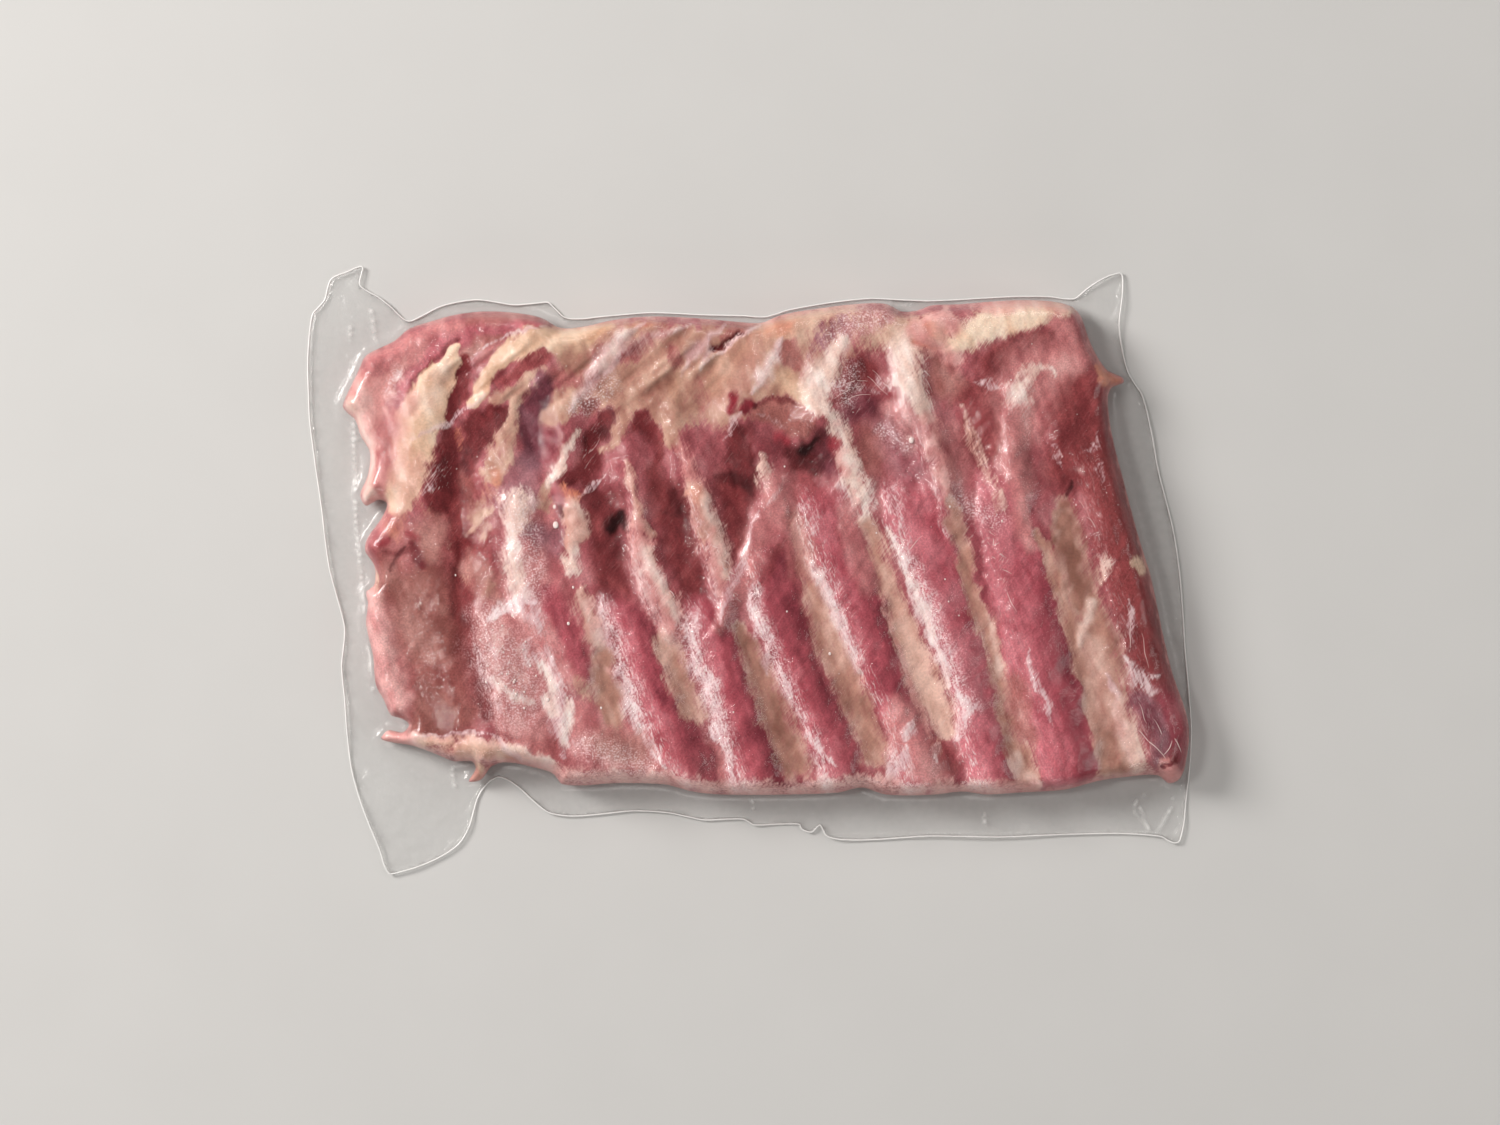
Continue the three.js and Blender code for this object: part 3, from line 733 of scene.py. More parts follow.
# Flecks and fine lines down the right side
RIGHT_FLECKS = mark_rows(
    (FASCIA, ((1101, 431, 2), (1094, 444, 4), (1083, 454, 3)), 0.65, 0.9, -0.2),
    (FASCIA, ((1040, 439, 1.5), (1054, 446, 2), (1062, 458, 1.5)), 0.7, 0.7),
    (FASCIA, ((1049, 462, 1.5), (1056, 456, 2), (1060, 470, 1.5)), 0.6, 0.7),
    (FASCIA, ((1103, 456, 2), (1100, 470, 3.5), (1104, 488, 2)), 0.7, 0.8, -0.15),
    (WHITE_FAT, ((1104, 562, 5), (1101, 577, 5)), 0.8, 0.85, -0.2),
    (CREAM_FAT, ((1139, 562, 6), (1142, 570, 5)), 0.75, 0.8),
    (FASCIA, ((1129, 600, 3), (1130, 626, 3), (1132, 652, 2)), 0.75, 0.6),
)

# Wrinkled sheath at the lower edge
WRINKLED_SHEATH = mark_rows(
    (ROSE_LEAN, ((896, 704, 9), (906, 730, 15), (914, 756, 17), (934, 776, 15)), 0.75, 0.85, 0.1, 0.3),
    (DARK_LEAN, ((946, 746, 7), (950, 764, 9)), 0.6, 0.8, 0.4),
    (FASCIA, ((838, 488, 8), (846, 525, 9), (856, 560, 7)), 0.6, 0.9, -0.2),
    (ROSE_LEAN, ((846, 512, 8), (853, 544, 10), (868, 582, 9)), 0.7, 0.9, -0.02),
    (FASCIA, ((914, 720, 6), (908, 738, 8)), 1, 0.8, 0.2, 0.4),
    (FASCIA, ((937, 740, 5), (938, 760, 5)), 0.95, 0.8, 0, 0.3),
    (FASCIA, ((908, 746, 5), (895, 767, 8), (884, 782, 6)), 1, 0.8, 0.1, 0.4),
    (RUST, ((936, 742, 5), (942, 752, 4)), 0.35, 0.8),
)

# Painted light: a pale rim along the lower edge, which faces away from the lamps
LIT_LOWER_RIM = mark_rows(
    (PINK_FAT, ((566, 776, 8), (620, 779, 8), (680, 782, 8), (740, 789, 8), (800, 789, 8), (860, 782, 8),
     (920, 789, 8)), 0.75, 0.8, 0.35),
    (PINK_FAT, ((940, 789, 8), (985, 790, 8), (1040, 788, 6)), 0.75, 0.8, 0.3),
)

# Groove beside the thin end, its dark band painted shade, and the membrane's soft clouds
GROOVE = mark_rows(
    (DARK_LEAN, ((461, 545, 7), (462, 580, 9), (462, 618, 10), (470, 648, 11), (481, 680, 9),
     (489, 714, 6)), 0.85, 0.75, 0, -1),
    (CREAM_FAT, ((374, 576, 5), (376, 590, 6), (380, 602, 5)), 0.7, 0.9, 0.1),
    (ROSE_LEAN, ((384, 612, 11), (392, 648, 14), (398, 680, 13), (404, 704, 9)), 0.65, 0.95, -0.2),
    (ROSE_LEAN, ((370, 592, 7), (374, 620, 9), (380, 650, 9), (388, 680, 9), (398, 706, 8)), 0.9, 0.95,
     0.45),
    (ROSE_LEAN, ((386, 526, 11), (398, 538, 14), (402, 560, 11)), 0.75, 0.95, -0.15),
    (MEMBRANE, ((392, 574, 10), (398, 592, 14), (420, 584, 10)), 0.6, 0.95, 0.15),
    (RUST, ((386, 524, 8), (396, 532, 8)), 0.45, 0.95, 0.3),
    (MEMBRANE, ((434, 526, 10), (430, 548, 10)), 0.7, 0.95, 0.35),
    (MEMBRANE, ((406, 620, 11), (416, 640, 13)), 0.7, 0.95, 0.42),
    (MEMBRANE, ((428, 652, 5), (446, 664, 5)), 0.6, 0.95, 0.35),
    (MEMBRANE, ((424, 602, 4), (440, 612, 5)), 0.5, 0.95, 0.4),
    (MEMBRANE, ((432, 708, 12), (448, 698, 8), (468, 714, 8)), 0.5, 0.95, 0.1),
    (MEMBRANE, ((425, 600, 22), (432, 650, 24), (440, 690, 20)), 0.3, 0.9, -0.5),
    (DARK_LEAN, ((448, 672, 12), (466, 700, 10)), 0.35, 0.8, 0.3),
)

# Blood and veins on the membrane
VEINS = mark_rows(
    (BLOOD, ((375, 546, 3), (386, 540, 3)), 0.75, 0.9, 0.35),
    (BLOOD, ((412, 546, 3), (417, 556, 4), (419, 565, 4)), 0.85, 0.85, -0.2),
    (BLOOD, ((410, 534, 3), (416, 539, 3)), 0.7, 0.8),
    (DARK_LEAN, ((384, 552, 2), (398, 553, 2.5), (412, 550, 2)), 0.6, 0.8, 0.1),
    (CLOT, ((402, 549, 1.5), (396, 558, 1.8), (389, 569, 1.5)), 0.7, 0.7, 0.4),
)

# Folds and lumps by the groove
GROOVE_FOLDS = mark_rows(
    (TAN_FAT, ((458, 526, 5), (476, 513, 6)), 0.3, 0.9, 0, 0.2),
    (DARK_LEAN, ((455, 496, 7), (457, 520, 7), (460, 548, 8)), 0.85, 0.8, -0.1),
    (TAN_FAT, ((468, 531, 3), (480, 519, 4.5), (496, 507, 3)), 0.75, 0.9, 0.25, 0.1),
    (DARK_LEAN, ((464, 541, 2.5), (478, 529, 3), (490, 520, 2)), 0.6, 0.8, 0.1),
    (TAN_FAT, ((484, 538, 3), (490, 528, 4)), 0.6, 0.9, 0.1),
    (TAN_FAT, ((474, 568, 9), (468, 576, 7)), 0.4, 0.95, 0.2, 0.2),
    (MEMBRANE, ((474, 566, 9), (486, 578, 9), (490, 594, 8)), 0.7, 0.9, 0.35, 0.1),
    (TAN_FAT, ((492, 586, 6), (488, 596, 5)), 0.5, 0.8, 0.1, 0.3),
)

# White streaks on the bulge: partly sheath and fat, partly painted highlights and sparkle of its wet surface
BULGE_STREAKS = mark_rows(
    (FASCIA, ((486, 623, 3), (500, 610, 4), (518, 603, 5), (536, 600, 4)), 0.9, 0.7),
    (FASCIA, ((531, 638, 5), (529, 650, 7), (527, 668, 5)), 0.75, 0.8, 0.1, 0.2),
    (FASCIA, ((487, 634, 4), (493, 654, 5), (497, 668, 3)), 0.6, 0.8, -0.1),
    (FASCIA, ((552, 660, 6), (556, 690, 10), (562, 722, 13), (565, 757, 11)), 1, 0.9, 0.05, 0.5),
    (WHITE_FAT, ((539, 664, 5), (550, 684, 7)), 0.7, 0.95, 0.45, 0.1),
    (WHITE_FAT, ((546, 694, 5), (551, 708, 5)), 0.7, 0.95, 0.45, 0.1),
    (WHITE_FAT, ((494, 678, 5), (510, 692, 5)), 0.7, 0.95, 0.4, 0.1),
    (WHITE_FAT, ((513, 695, 5), (531, 704, 5)), 0.7, 0.95, 0.4, 0.1),
    (ROSE_LEAN, ((584, 716, 12), (590, 736, 12)), 0.8, 0.7, -0.3),
    (FASCIA, ((474, 640, 5), (486, 676, 8), (500, 710, 9)), 0.5, 0.9),
    (FASCIA, ((486, 622, 4), (498, 610, 6), (516, 604, 7), (532, 603, 4)), 0.8, 0.95, 0.3),
    (WHITE_FAT, ((545, 668, 3), (552, 690, 5), (556, 712, 4)), 0.6, 0.95, 0.3),
    (WHITE_FAT, ((566, 700, 4), (570, 722, 6), (566, 744, 4)), 0.7, 0.95, 0.2),
    (FASCIA, ((570, 740, 10), (600, 750, 12), (630, 764, 10)), 0.45, 0.9),
)

# Flap at the lower left, with painted shade in its folds and painted highlights along its crease lines and
# lower lip
LOWER_FLAP = mark_rows(
    (PINK_FAT, ((384, 735, 5), (420, 741, 8), (460, 749, 11), (500, 752, 12), (545, 766, 10)), 1, 0.35,
     0.35, 0.6),
    (CREAM_FAT, ((424, 742, 5), (456, 747, 8), (482, 750, 8), (520, 752, 5)), 0.6, 0.9, -0.1),
    (WHITE_FAT, ((504, 744, 3), (524, 752, 5), (552, 762, 4)), 0.7, 0.9, 0.1),
    (RICH_LEAN, ((428, 746, 3), (450, 748, 4), (455, 742, 3)), 0.5, 0.8, 0, -0.4),
    (DARK_LEAN, ((500, 736, 4), (530, 744, 6), (560, 752, 6)), 0.5, 0.6, 0.4, -0.5),
    (RUST, ((506, 757, 4), (516, 760, 3)), 0.6, 0.6, -0.3),
    (CREAM_FAT, ((475, 776, 5), (482, 766, 6)), 0.7, 0.4),
    (FASCIA, ((416, 735, 2), (446, 733, 2), (485, 734, 2), (500, 738, 2)), 0.8, 0.5, 0, 0.4),
    (FASCIA, ((497, 739, 3), (508, 750, 3), (524, 762, 3)), 0.8, 0.5, 0, 0.4),
    (MEMBRANE, ((608, 746, 14), (634, 752, 13)), 0.8, 0.7, 0.3),
)

# Edges and strands over the upper fat: the pale lines along the fold crests and the upper edge are painted
# highlights
UPPER_STRANDS = mark_rows(
    (FASCIA, ((547, 322, 2), (505, 336, 2), (478, 350, 2)), 0.85, 0.5, 0, 0.3),
    (FASCIA, ((489, 386, 2.5), (468, 408, 2.5), (450, 422, 2.5), (428, 432, 2), (408, 440, 1.5)), 0.85, 0.6,
     0, 0.1),
    (WHITE_FAT, ((578, 433, 3), (568, 450, 4.5), (556, 472, 5), (549, 486, 3)), 0.95, 0.7, 0.1, 0.3),
    (FASCIA, ((606, 472, 2), (590, 486, 3), (580, 497, 2)), 0.8, 0.6, 0, 0.3),
    (FASCIA, ((648, 320, 5), (622, 337, 8), (604, 358, 9), (588, 384, 9), (573, 410, 8)), 0.8, 0.85, 0.05,
     0.4),
    (FASCIA, ((692, 323, 4), (652, 337, 5), (622, 356, 5), (606, 376, 4)), 0.75, 0.8, 0, 0.5),
    (FASCIA, ((724, 323, 5), (705, 343, 6), (690, 358, 5), (682, 374, 3)), 0.8, 0.8, 0, 0.4),
    (CREAM_FAT, ((679, 376, 6), (676, 396, 6)), 0.4, 0.95, -0.1, 0.2),
    (FASCIA, ((712, 338, 4), (707, 356, 4), (702, 374, 3)), 0.8, 0.8, 0.1, 0.3),
    (MEMBRANE, ((668, 330, 5), (642, 342, 7), (628, 358, 5)), 0.5, 0.95, 0.1),
    (FASCIA, ((764, 322, 3), (742, 334, 3), (722, 352, 3), (706, 364, 2)), 0.8, 0.5, 0, 0.7),
    (FASCIA, ((783, 340, 6), (772, 362, 8), (762, 380, 7), (753, 393, 5)), 0.95, 0.85, 0.15, 0.4),
    (FASCIA, ((744, 412, 4), (735, 424, 5), (724, 440, 3)), 0.75, 0.9, -0.1),
    (FASCIA, ((832, 388, 5), (856, 384, 6), (884, 392, 5)), 0.4, 0.9),
)

# Fold over the fourth rib, and strands near it
RIB_STRANDS = mark_rows(
    (ROSE_LEAN, ((780, 486, 11), (770, 512, 13), (756, 545, 11), (744, 578, 9), (731, 606, 7),
     (719, 630, 5)), 0.85, 0.8, -0.18, 0.3),
    (FASCIA, ((762, 506, 2), (752, 534, 3.5), (742, 565, 4), (731, 596, 3.5), (720, 622, 3)), 0.85, 0.85, 0,
     0.1),
    (DARK_LEAN, ((777, 548, 4), (766, 572, 5), (757, 596, 4)), 0.6, 0.9, 0.1),
    (FASCIA, ((790, 470, 2), (776, 490, 2), (764, 515, 2)), 0.5, 0.7, 0, 0.2),
    (FASCIA, ((600, 378, 5), (590, 392, 5), (580, 405, 4)), 0.45, 0.9),
    (FASCIA, ((402, 372, 4), (396, 384, 3)), 0.7, 0.6),
)

# All marks, in the order that they are laid
ALL_MARKS = (BROAD_FIELDS + PINK_LOBE + CREAM_WEDGE + CREAM_BAND + DARK_WINDOW + PURPLE_COLUMN
             + DARK_HATCHES + MIXED_FAT + TAN_SHADES + CLEFT + FIRST_COLUMN + DARK_PATCH + SECOND_COLUMN
             + PINK_KNUCKLE + PALE_HOOK + MIDDLE_FLAP + BLOOD_CLOT + BESIDE_CLOT + HOLES + FIRST_RIB
             + SECOND_RIB + THIRD_RIB + FOURTH_RIB + FIFTH_RIB + SIXTH_RIB + SEVENTH_RIB + LAST_RIBS
             + RIGHT_END + RIGHT_FLECKS + WRINKLED_SHEATH + LIT_LOWER_RIM + GROOVE + VEINS + GROOVE_FOLDS
             + BULGE_STREAKS + LOWER_FLAP + UPPER_STRANDS + RIB_STRANDS)

# Where pale threads run across the muscle from a rib's sheath
THREADED: tuple[Path, ...] = (
    ((905, 550, 14), (928, 600, 16), (945, 650, 16), (955, 700, 14), (930, 750, 18)),
    ((826, 560, 10), (845, 610, 14), (862, 655, 14)),
    ((855, 385, 22), (860, 410, 16)),
    ((600, 420, 12), (585, 470, 12)),
    ((690, 640, 14), (715, 700, 16), (720, 750, 14)),
    ((500, 620, 24), (510, 680, 26)),
    ((940, 470, 16), (985, 540, 22), (1010, 590, 16)),
    ((765, 620, 12), (772, 660, 10)),
    ((1010, 390, 16), (980, 380, 12)),
    ((444, 462, 12), (436, 490, 16)),
    ((690, 520, 16), (712, 560, 18)),
    ((640, 540, 14), (664, 600, 18)),
    ((836, 430, 14), (856, 490, 18)),
    ((1134, 672, 16), (1150, 690, 14)),
    ((590, 600, 14), (604, 640, 14)),
)

# Where the fat over the upper ribs lies in folds
FOLDED: Path = ((470, 376, 30), (540, 366, 46), (630, 364, 52), (684, 366, 44))

# Where small globules of fat break up the lean
GLOBULES: tuple[Path, ...] = (
    ((586, 596, 8), (600, 636, 10), (612, 668, 8)),
    ((636, 520, 10), (652, 566, 14), (672, 612, 14)),
    ((702, 520, 10), (716, 560, 12), (728, 596, 9)),
    ((838, 430, 10), (850, 470, 11), (862, 505, 11)),
    ((505, 640, 14), (520, 690, 18), (545, 720, 14)),
    ((930, 440, 7), (944, 490, 8)),
)

# Single beads of trapped juice: pixels, with the half width of each
SINGLE_BEADS: Path = (
    (548, 700, 2.4), (556, 526, 4.0), (911, 440, 3.4), (554, 507, 2.4), (513, 616, 2.0), (602, 708, 1.6),
)

# Where painted sparkle, fine white dots for the glints of small bubbles under the film, covers the meat
SPARKLED: tuple[Path, ...] = (
    ((836, 338, 12), (850, 326, 17), (868, 318, 19), (886, 316, 12)),
    ((838, 386, 10), (852, 374, 12), (846, 398, 9)),
    ((520, 505, 18), (524, 545, 20), (530, 585, 18)),
    ((484, 618, 18), (500, 650, 34), (516, 700, 32)),
    ((614, 384, 12), (592, 398, 14), (576, 410, 9)),
    ((684, 626, 13), (702, 672, 14), (720, 730, 13)),
    ((606, 610, 10), (620, 660, 11), (640, 715, 11)),
    ((756, 596, 10), (768, 644, 10), (784, 684, 9)),
    ((906, 556, 12), (928, 604, 13), (946, 660, 13), (966, 700, 16)),
    ((884, 430, 10), (904, 446, 9)),
    ((960, 500, 11), (996, 520, 13)),
    ((590, 750, 18), (640, 764, 16)),
    ((396, 372, 8), (390, 392, 8)),
)

# Muscles and covered ribs that swell, left to right
MUSCLES = (
    Muscle(ROSE_LEAN, ((596, 464, 552), (630, 466, 557), (660, 472, 562), (700, 482, 566), (740, 500, 572),
           (765, 520, 576)), 3.2, 0.2, 0.5),
    Muscle(ROSE_LEAN, ((480, 500, 548), (520, 502, 560), (560, 503, 566), (600, 506, 582), (640, 530, 598),
           (690, 560, 606)), 2.4, 0.3, 0.5),
    Muscle(RICH_LEAN, ((585, 596, 634), (610, 602, 644), (640, 616, 657), (680, 626, 678), (720, 638, 698),
           (760, 655, 718), (790, 680, 724)), 2.3, 0.7),
    Muscle(LEAN, ((470, 622, 640), (520, 628, 654), (560, 630, 668), (600, 640, 692), (640, 660, 700)), 2.2,
           0.5, 0.4),
    Muscle(RICH_LEAN, ((590, 684, 722), (640, 688, 743), (680, 699, 758), (720, 711, 770), (760, 724, 784),
           (795, 735, 792)), 2.4, 0.9),
    Muscle(LEAN, ((472, 684, 706), (520, 690, 724), (560, 698, 738), (600, 712, 742), (630, 725, 746)), 2.2,
           0.5, 0.4),
    Muscle(RICH_LEAN, ((480, 762, 790), (520, 752, 776), (560, 736, 762), (600, 722, 744), (640, 704, 724)),
           0.8, 0.3, 0.5),
    Muscle(RICH_LEAN, ((530, 746, 782), (580, 745, 792), (620, 753, 808), (660, 768, 818), (700, 788, 838),
           (740, 808, 858), (795, 826, 870)), 2.5, 0.85),
    Muscle(RICH_LEAN, ((480, 798, 842), (520, 797, 860), (560, 807, 873), (600, 825, 889), (640, 839, 898),
           (680, 861, 909), (720, 884, 926), (760, 890, 962), (795, 900, 966)), 2.6, 0.8),
    Muscle(RICH_LEAN, ((470, 878, 940), (520, 884, 950), (560, 900, 959), (600, 921, 971), (640, 932, 984),
           (680, 945, 997), (720, 955, 1007), (760, 960, 1017), (795, 975, 1020)), 3.2, 1, 0.85, 0.35),
    Muscle(LEAN, ((410, 912, 948), (460, 918, 956), (500, 932, 964), (540, 946, 968)), 1.8, 0.6, 0.4),
    Muscle(RICH_LEAN, ((462, 976, 1033), (490, 974, 1036), (520, 975, 1042), (560, 983, 1049),
           (600, 992, 1061), (640, 1001, 1073), (680, 1008, 1083), (720, 1021, 1091), (760, 1040, 1103),
           (785, 1046, 1104)), 3, 0.15, 0.85, 0.15),
    Muscle(DARK_LEAN, ((440, 1070, 1126), (480, 1078, 1134), (520, 1086, 1144), (560, 1096, 1156),
           (600, 1108, 1166), (640, 1118, 1176), (680, 1127, 1188), (720, 1134, 1200), (760, 1150, 1204)),
           2, 0.2, 0.5, 0.45),
    Muscle(LEAN, ((360, 1000, 1046), (400, 1006, 1040), (440, 1000, 1032), (480, 1006, 1032)), 1.6, 0.4,
           0.4),
    Muscle(LEAN, ((330, 812, 850), (380, 802, 838), (430, 800, 840)), 1.1, 0.3, 0.3),
    Muscle(LEAN, ((325, 884, 930), (380, 890, 932), (430, 898, 944)), 1.3, 0.3, 0.3),
)

# Loose strands of sinew: pixels along each, with its half width there
STRANDS: tuple[Path, ...] = (
    ((1078, 500, 0.25), (1092, 522, 0.40), (1102, 546, 0.25)),
    ((1135, 728, 0.45), (1148, 740, 0.65), (1163, 755, 0.72), (1166, 760, 0.39)),
    ((1172, 740, 0.39), (1169, 748, 0.59), (1163, 755, 0.59)),
    ((1174, 738, 0.39), (1178, 746, 0.65), (1182, 752, 0.39)),
    ((1138, 702, 0.26), (1144, 718, 0.45), (1147, 724, 0.26)),
    ((1152, 718, 0.26), (1160, 730, 0.45), (1165, 740, 0.26)),
    ((1130, 612, 0.33), (1130, 640, 0.52), (1128, 655, 0.33)),
    ((1141, 632, 0.26), (1146, 658, 0.39), (1148, 668, 0.26)),
    ((922, 640, 0.33), (928, 618, 0.52), (936, 600, 0.33)),
    ((902, 558, 0.33), (912, 546, 0.52), (922, 536, 0.33)),
    ((1002, 586, 0.33), (1010, 600, 0.45), (1016, 612, 0.33)),
    ((834, 399, 0.3), (848, 390, 0.45), (864, 386, 0.3)),
    ((836, 406, 0.3), (852, 397, 0.4), (870, 394, 0.3)),
    ((842, 386, 0.3), (856, 380, 0.4), (868, 382, 0.3)),
    ((872, 370, 0.3), (884, 383, 0.5), (895, 394, 0.3)),
    ((866, 376, 0.3), (878, 386, 0.4), (888, 396, 0.3)),
)

# Sheaths that fray into short threads: pixels along each, with the threads' length there
FRINGES: tuple[Path, ...] = (
    ((895, 535, 13), (922, 598, 16), (947, 672, 14), (955, 700, 11)),
    ((812, 560, 9), (838, 618, 12), (858, 672, 9)),
    ((686, 625, 9), (700, 670, 12), (716, 710, 12), (730, 760, 9)),
    ((748, 590, 8), (762, 630, 10), (768, 668, 8)),
    ((603, 605, 7), (622, 668, 8), (640, 730, 8)),
    ((918, 352, 12), (922, 380, 14), (928, 408, 11)),
    ((985, 520, 8), (1008, 590, 9)),
    ((652, 545, 8), (664, 585, 10), (680, 618, 8)),
    ((708, 530, 8), (724, 566, 9), (736, 600, 7)),
    ((850, 440, 8), (862, 490, 9), (874, 525, 7)),
)

# Faint folds in the film's margin
FILM_CREASES: tuple[Path, ...] = (
    ((346, 322, 2), (350, 420, 2), (352, 520, 2), (364, 640, 2), (372, 700, 2)),
    ((366, 300, 2), (374, 350, 2)),
    ((449, 765, 2), (451, 785, 2), (453, 792, 2)),
    ((752, 796, 2), (753, 812, 2)),
    ((985, 808, 2), (988, 834, 2)),
    ((1152, 792, 2), (1138, 806, 2), (1139, 814, 2), (1150, 828, 2), (1158, 838, 2)),
    ((1142, 808, 1.5), (1153, 822, 1.5)),
    ((1152, 791, 1.5), (1164, 793, 1.5)),
    ((1178, 796, 1.5), (1172, 816, 1.5), (1160, 836, 1.5)),
)


class Outline:
    """A closed outline that places are measured against."""

    def __init__(self, points: Array) -> None:
        """Prepare the outline.

        Args:
            points: Its points in order, in millimetres.
        """
        self.points = points
        self.steps = np.roll(points, -1, axis=0) - points
        lengths = np.linalg.norm(self.steps, axis=1, keepdims=True)
        turn = np.sign(np.cross(points, np.roll(points, -1, axis=0)).sum())
        self.outward = np.column_stack([self.steps[:, 1], -self.steps[:, 0]]) / lengths * turn
        self.finder = KDTree(len(points))
        for index, (x, y) in enumerate(points):
            self.finder.insert((x, y, 0.0), index)
        self.finder.balance()

    def measure(self, places: Array) -> tuple[Array, Array]:
        """Find how deep places lie inside the outline.

        Args:
            places: Places in millimetres.

        Returns:
            Each place's depth, negative outside, and the nearest outline point.
        """
        near = np.array([self.finder.find((x, y, 0.0))[1] for x, y in places.tolist()])
        gaps, sides = [], []
        for segment in (near - 1, near):
            start, step = self.points[segment], self.steps[segment]
            along = np.einsum("ij,ij->i", places - start, step)
            share = np.clip(along / np.einsum("ij,ij->i", step, step), 0.0, 1.0)
            offset = places - start - share[:, None] * step
            at_point = (share == 0.0) | (share == 1.0)
            corner = self.outward[near] + self.outward[near - 1]
            normal = np.where(at_point[:, None], corner, self.outward[segment])
            gaps.append(np.linalg.norm(offset, axis=1))
            sides.append(-np.sign(np.einsum("ij,ij->i", offset, normal)))
        first = gaps[0] < gaps[1]
        return np.where(first, gaps[0] * sides[0], gaps[1] * sides[1]), near

    def depth(self, places: Array) -> Array:
        """Give each place's depth inside the outline, negative outside."""
        return self.measure(places)[0]

    def inset(self, distance: float) -> Array:
        """Give the outline moved inwards by a distance, or outwards if that is negative."""
        return self.points - 0.5 * (self.outward + np.roll(self.outward, 1, axis=0)) * distance


def even_loop(corners: Array, step: float) -> Array:
    """Run a smooth closed curve through corners and space points evenly on it.

    Args:
        corners: Outline points in order, in millimetres.
        step: Spacing of the new points.

    Returns:
        Points along the curve.
    """
    parts = 8
    before, after, beyond = (np.roll(corners, -k, axis=0) for k in (-1, 1, 2))
    fine = []
    for t in np.linspace(0.0, 1.0, parts, endpoint=False):
        fine.append(0.5 * (2 * corners + (after - before) * t
                           + (2 * before - 5 * corners + 4 * after - beyond) * t ** 2
                           + (3 * corners - before - 3 * after + beyond) * t ** 3))
    path = np.stack(fine, axis=1).reshape(-1, 2)
    closed = np.vstack([path, path[:1]])
    travel = run_along(closed)
    stops = np.linspace(0.0, travel[-1], int(travel[-1] / step), endpoint=False)
    return np.column_stack([np.interp(stops, travel, closed[:, k]) for k in range(2)])


def hex_grid(low: Array, high: Array, step: float) -> Array:
    """Fill a box with evenly spaced, staggered places.

    Args:
        low: Lowest corner in millimetres.
        high: Highest corner.
        step: Spacing.

    Returns:
        Places in rows.
    """
    rows = []
    for k, y in enumerate(np.arange(low[1], high[1], step * math.sqrt(0.75))):
        xs = np.arange(low[0] + (k % 2) * step / 2, high[0], step)
        rows.append(np.column_stack([xs, np.full_like(xs, y)]))
    return np.vstack(rows)


def triangulate(points: Array, loops: list[Array]) -> Array:
    """Join places into triangles that keep the edges of closed loops.

    Args:
        points: Places, with those of each loop in order among them.
        loops: Indices of each loop's points.

    Returns:
        Triangles as rows of indices, facing up.
    """
    edges = [(int(a), int(b)) for loop in loops for a, b in zip(loop, np.roll(loop, -1))]
    places = [Vector(p) for p in points]
    _, _, faces, origins, _, _ = delaunay_2d_cdt(places, edges, [], 0, 1e-7, True)
    source = np.array([ids[0] for ids in origins])
    triangles = source[np.array(faces)]
    a, b, c = (points[triangles[:, k]] for k in range(3))
    turn = np.cross(b - a, c - a)
    triangles[turn < 0] = triangles[turn < 0][:, ::-1]
    return triangles


def sides_of(triangles: Array) -> Array:
    """Give the three sides of each triangle as rows of two indices."""
    return np.vstack([triangles[:, (0, 1)], triangles[:, (1, 2)], triangles[:, (2, 0)]])


def place_object(name: str, data: bpy.types.ID) -> bpy.types.Object:
    """Make an object at the origin and link it to the scene.

    Args:
        name: Name of the object.
        data: Its mesh, curve, light or camera.

    Returns:
        The new object.
    """
    made = bpy.data.objects.new(name, data)
    bpy.context.scene.collection.objects.link(made)
    return made


def close_piece(name: str, top: Array, top_triangles: Array, bottom: Array,
                bottom_triangles: Array) -> tuple[bpy.types.Object, Array]:
    """Join a top sheet and a bottom sheet into one closed, smooth piece.

    Args:
        name: Name of the piece.
        top: Places of the top sheet, in millimetres.
        top_triangles: Its triangles.
        bottom: Places that only the bottom sheet has.
        bottom_triangles: Its triangles, numbered on after the top's places.

    Returns:
        The piece, and the places that it uses, in the order of its points.
    """
    vertices = np.vstack([top, bottom])
    triangles = np.vstack([top_triangles, bottom_triangles])
    used, packed = np.unique(triangles, return_inverse=True)
    mesh = bpy.data.meshes.new(name)
    mesh.from_pydata((vertices[used] * MM).tolist(), [], packed.reshape(-1, 3).tolist())
    mesh.shade_smooth()
    return place_object(name, mesh), used


def add_values(piece: bpy.types.Object, name: str, values: Array) -> None:
    """Store one number or one colour for each point of a piece.

    Args:
        piece: The piece.
        name: Name that a material reads it by.
        values: One row for each point; three columns make a colour.
    """
    if values.ndim == 1:
        layer = piece.data.attributes.new(name, "FLOAT", "POINT")
        layer.data.foreach_set("value", values.astype(np.float32))
        return
    layer = piece.data.attributes.new(name, "FLOAT_COLOR", "POINT")
    opaque = np.column_stack([values, np.ones(len(values))])
    layer.data.foreach_set("color", opaque.astype(np.float32).ravel())


def add_node(tree: bpy.types.NodeTree, kind: str, inputs: dict | tuple = (), **settings) -> bpy.types.Node:
    """Add a node with its settings, values and links.

    Args:
        tree: Tree that gets the node.
        kind: Blender's name for the node.
        inputs: Values in the order of the sockets, or by socket name or number. An output
            socket is linked, and so is the first output of a node.
        **settings: Properties of the node.

    Returns:
        The new node.
    """
    node = tree.nodes.new(kind)
    for key, value in settings.items():
        setattr(node, key, value)
    for key, value in (inputs if isinstance(inputs, dict) else dict(enumerate(inputs))).items():
        if isinstance(value, bpy.types.Node):
            value = value.outputs[0]
        if isinstance(value, bpy.types.NodeSocket):
            tree.links.new(value, node.inputs[key])
        else:
            node.inputs[key].default_value = value
    return node


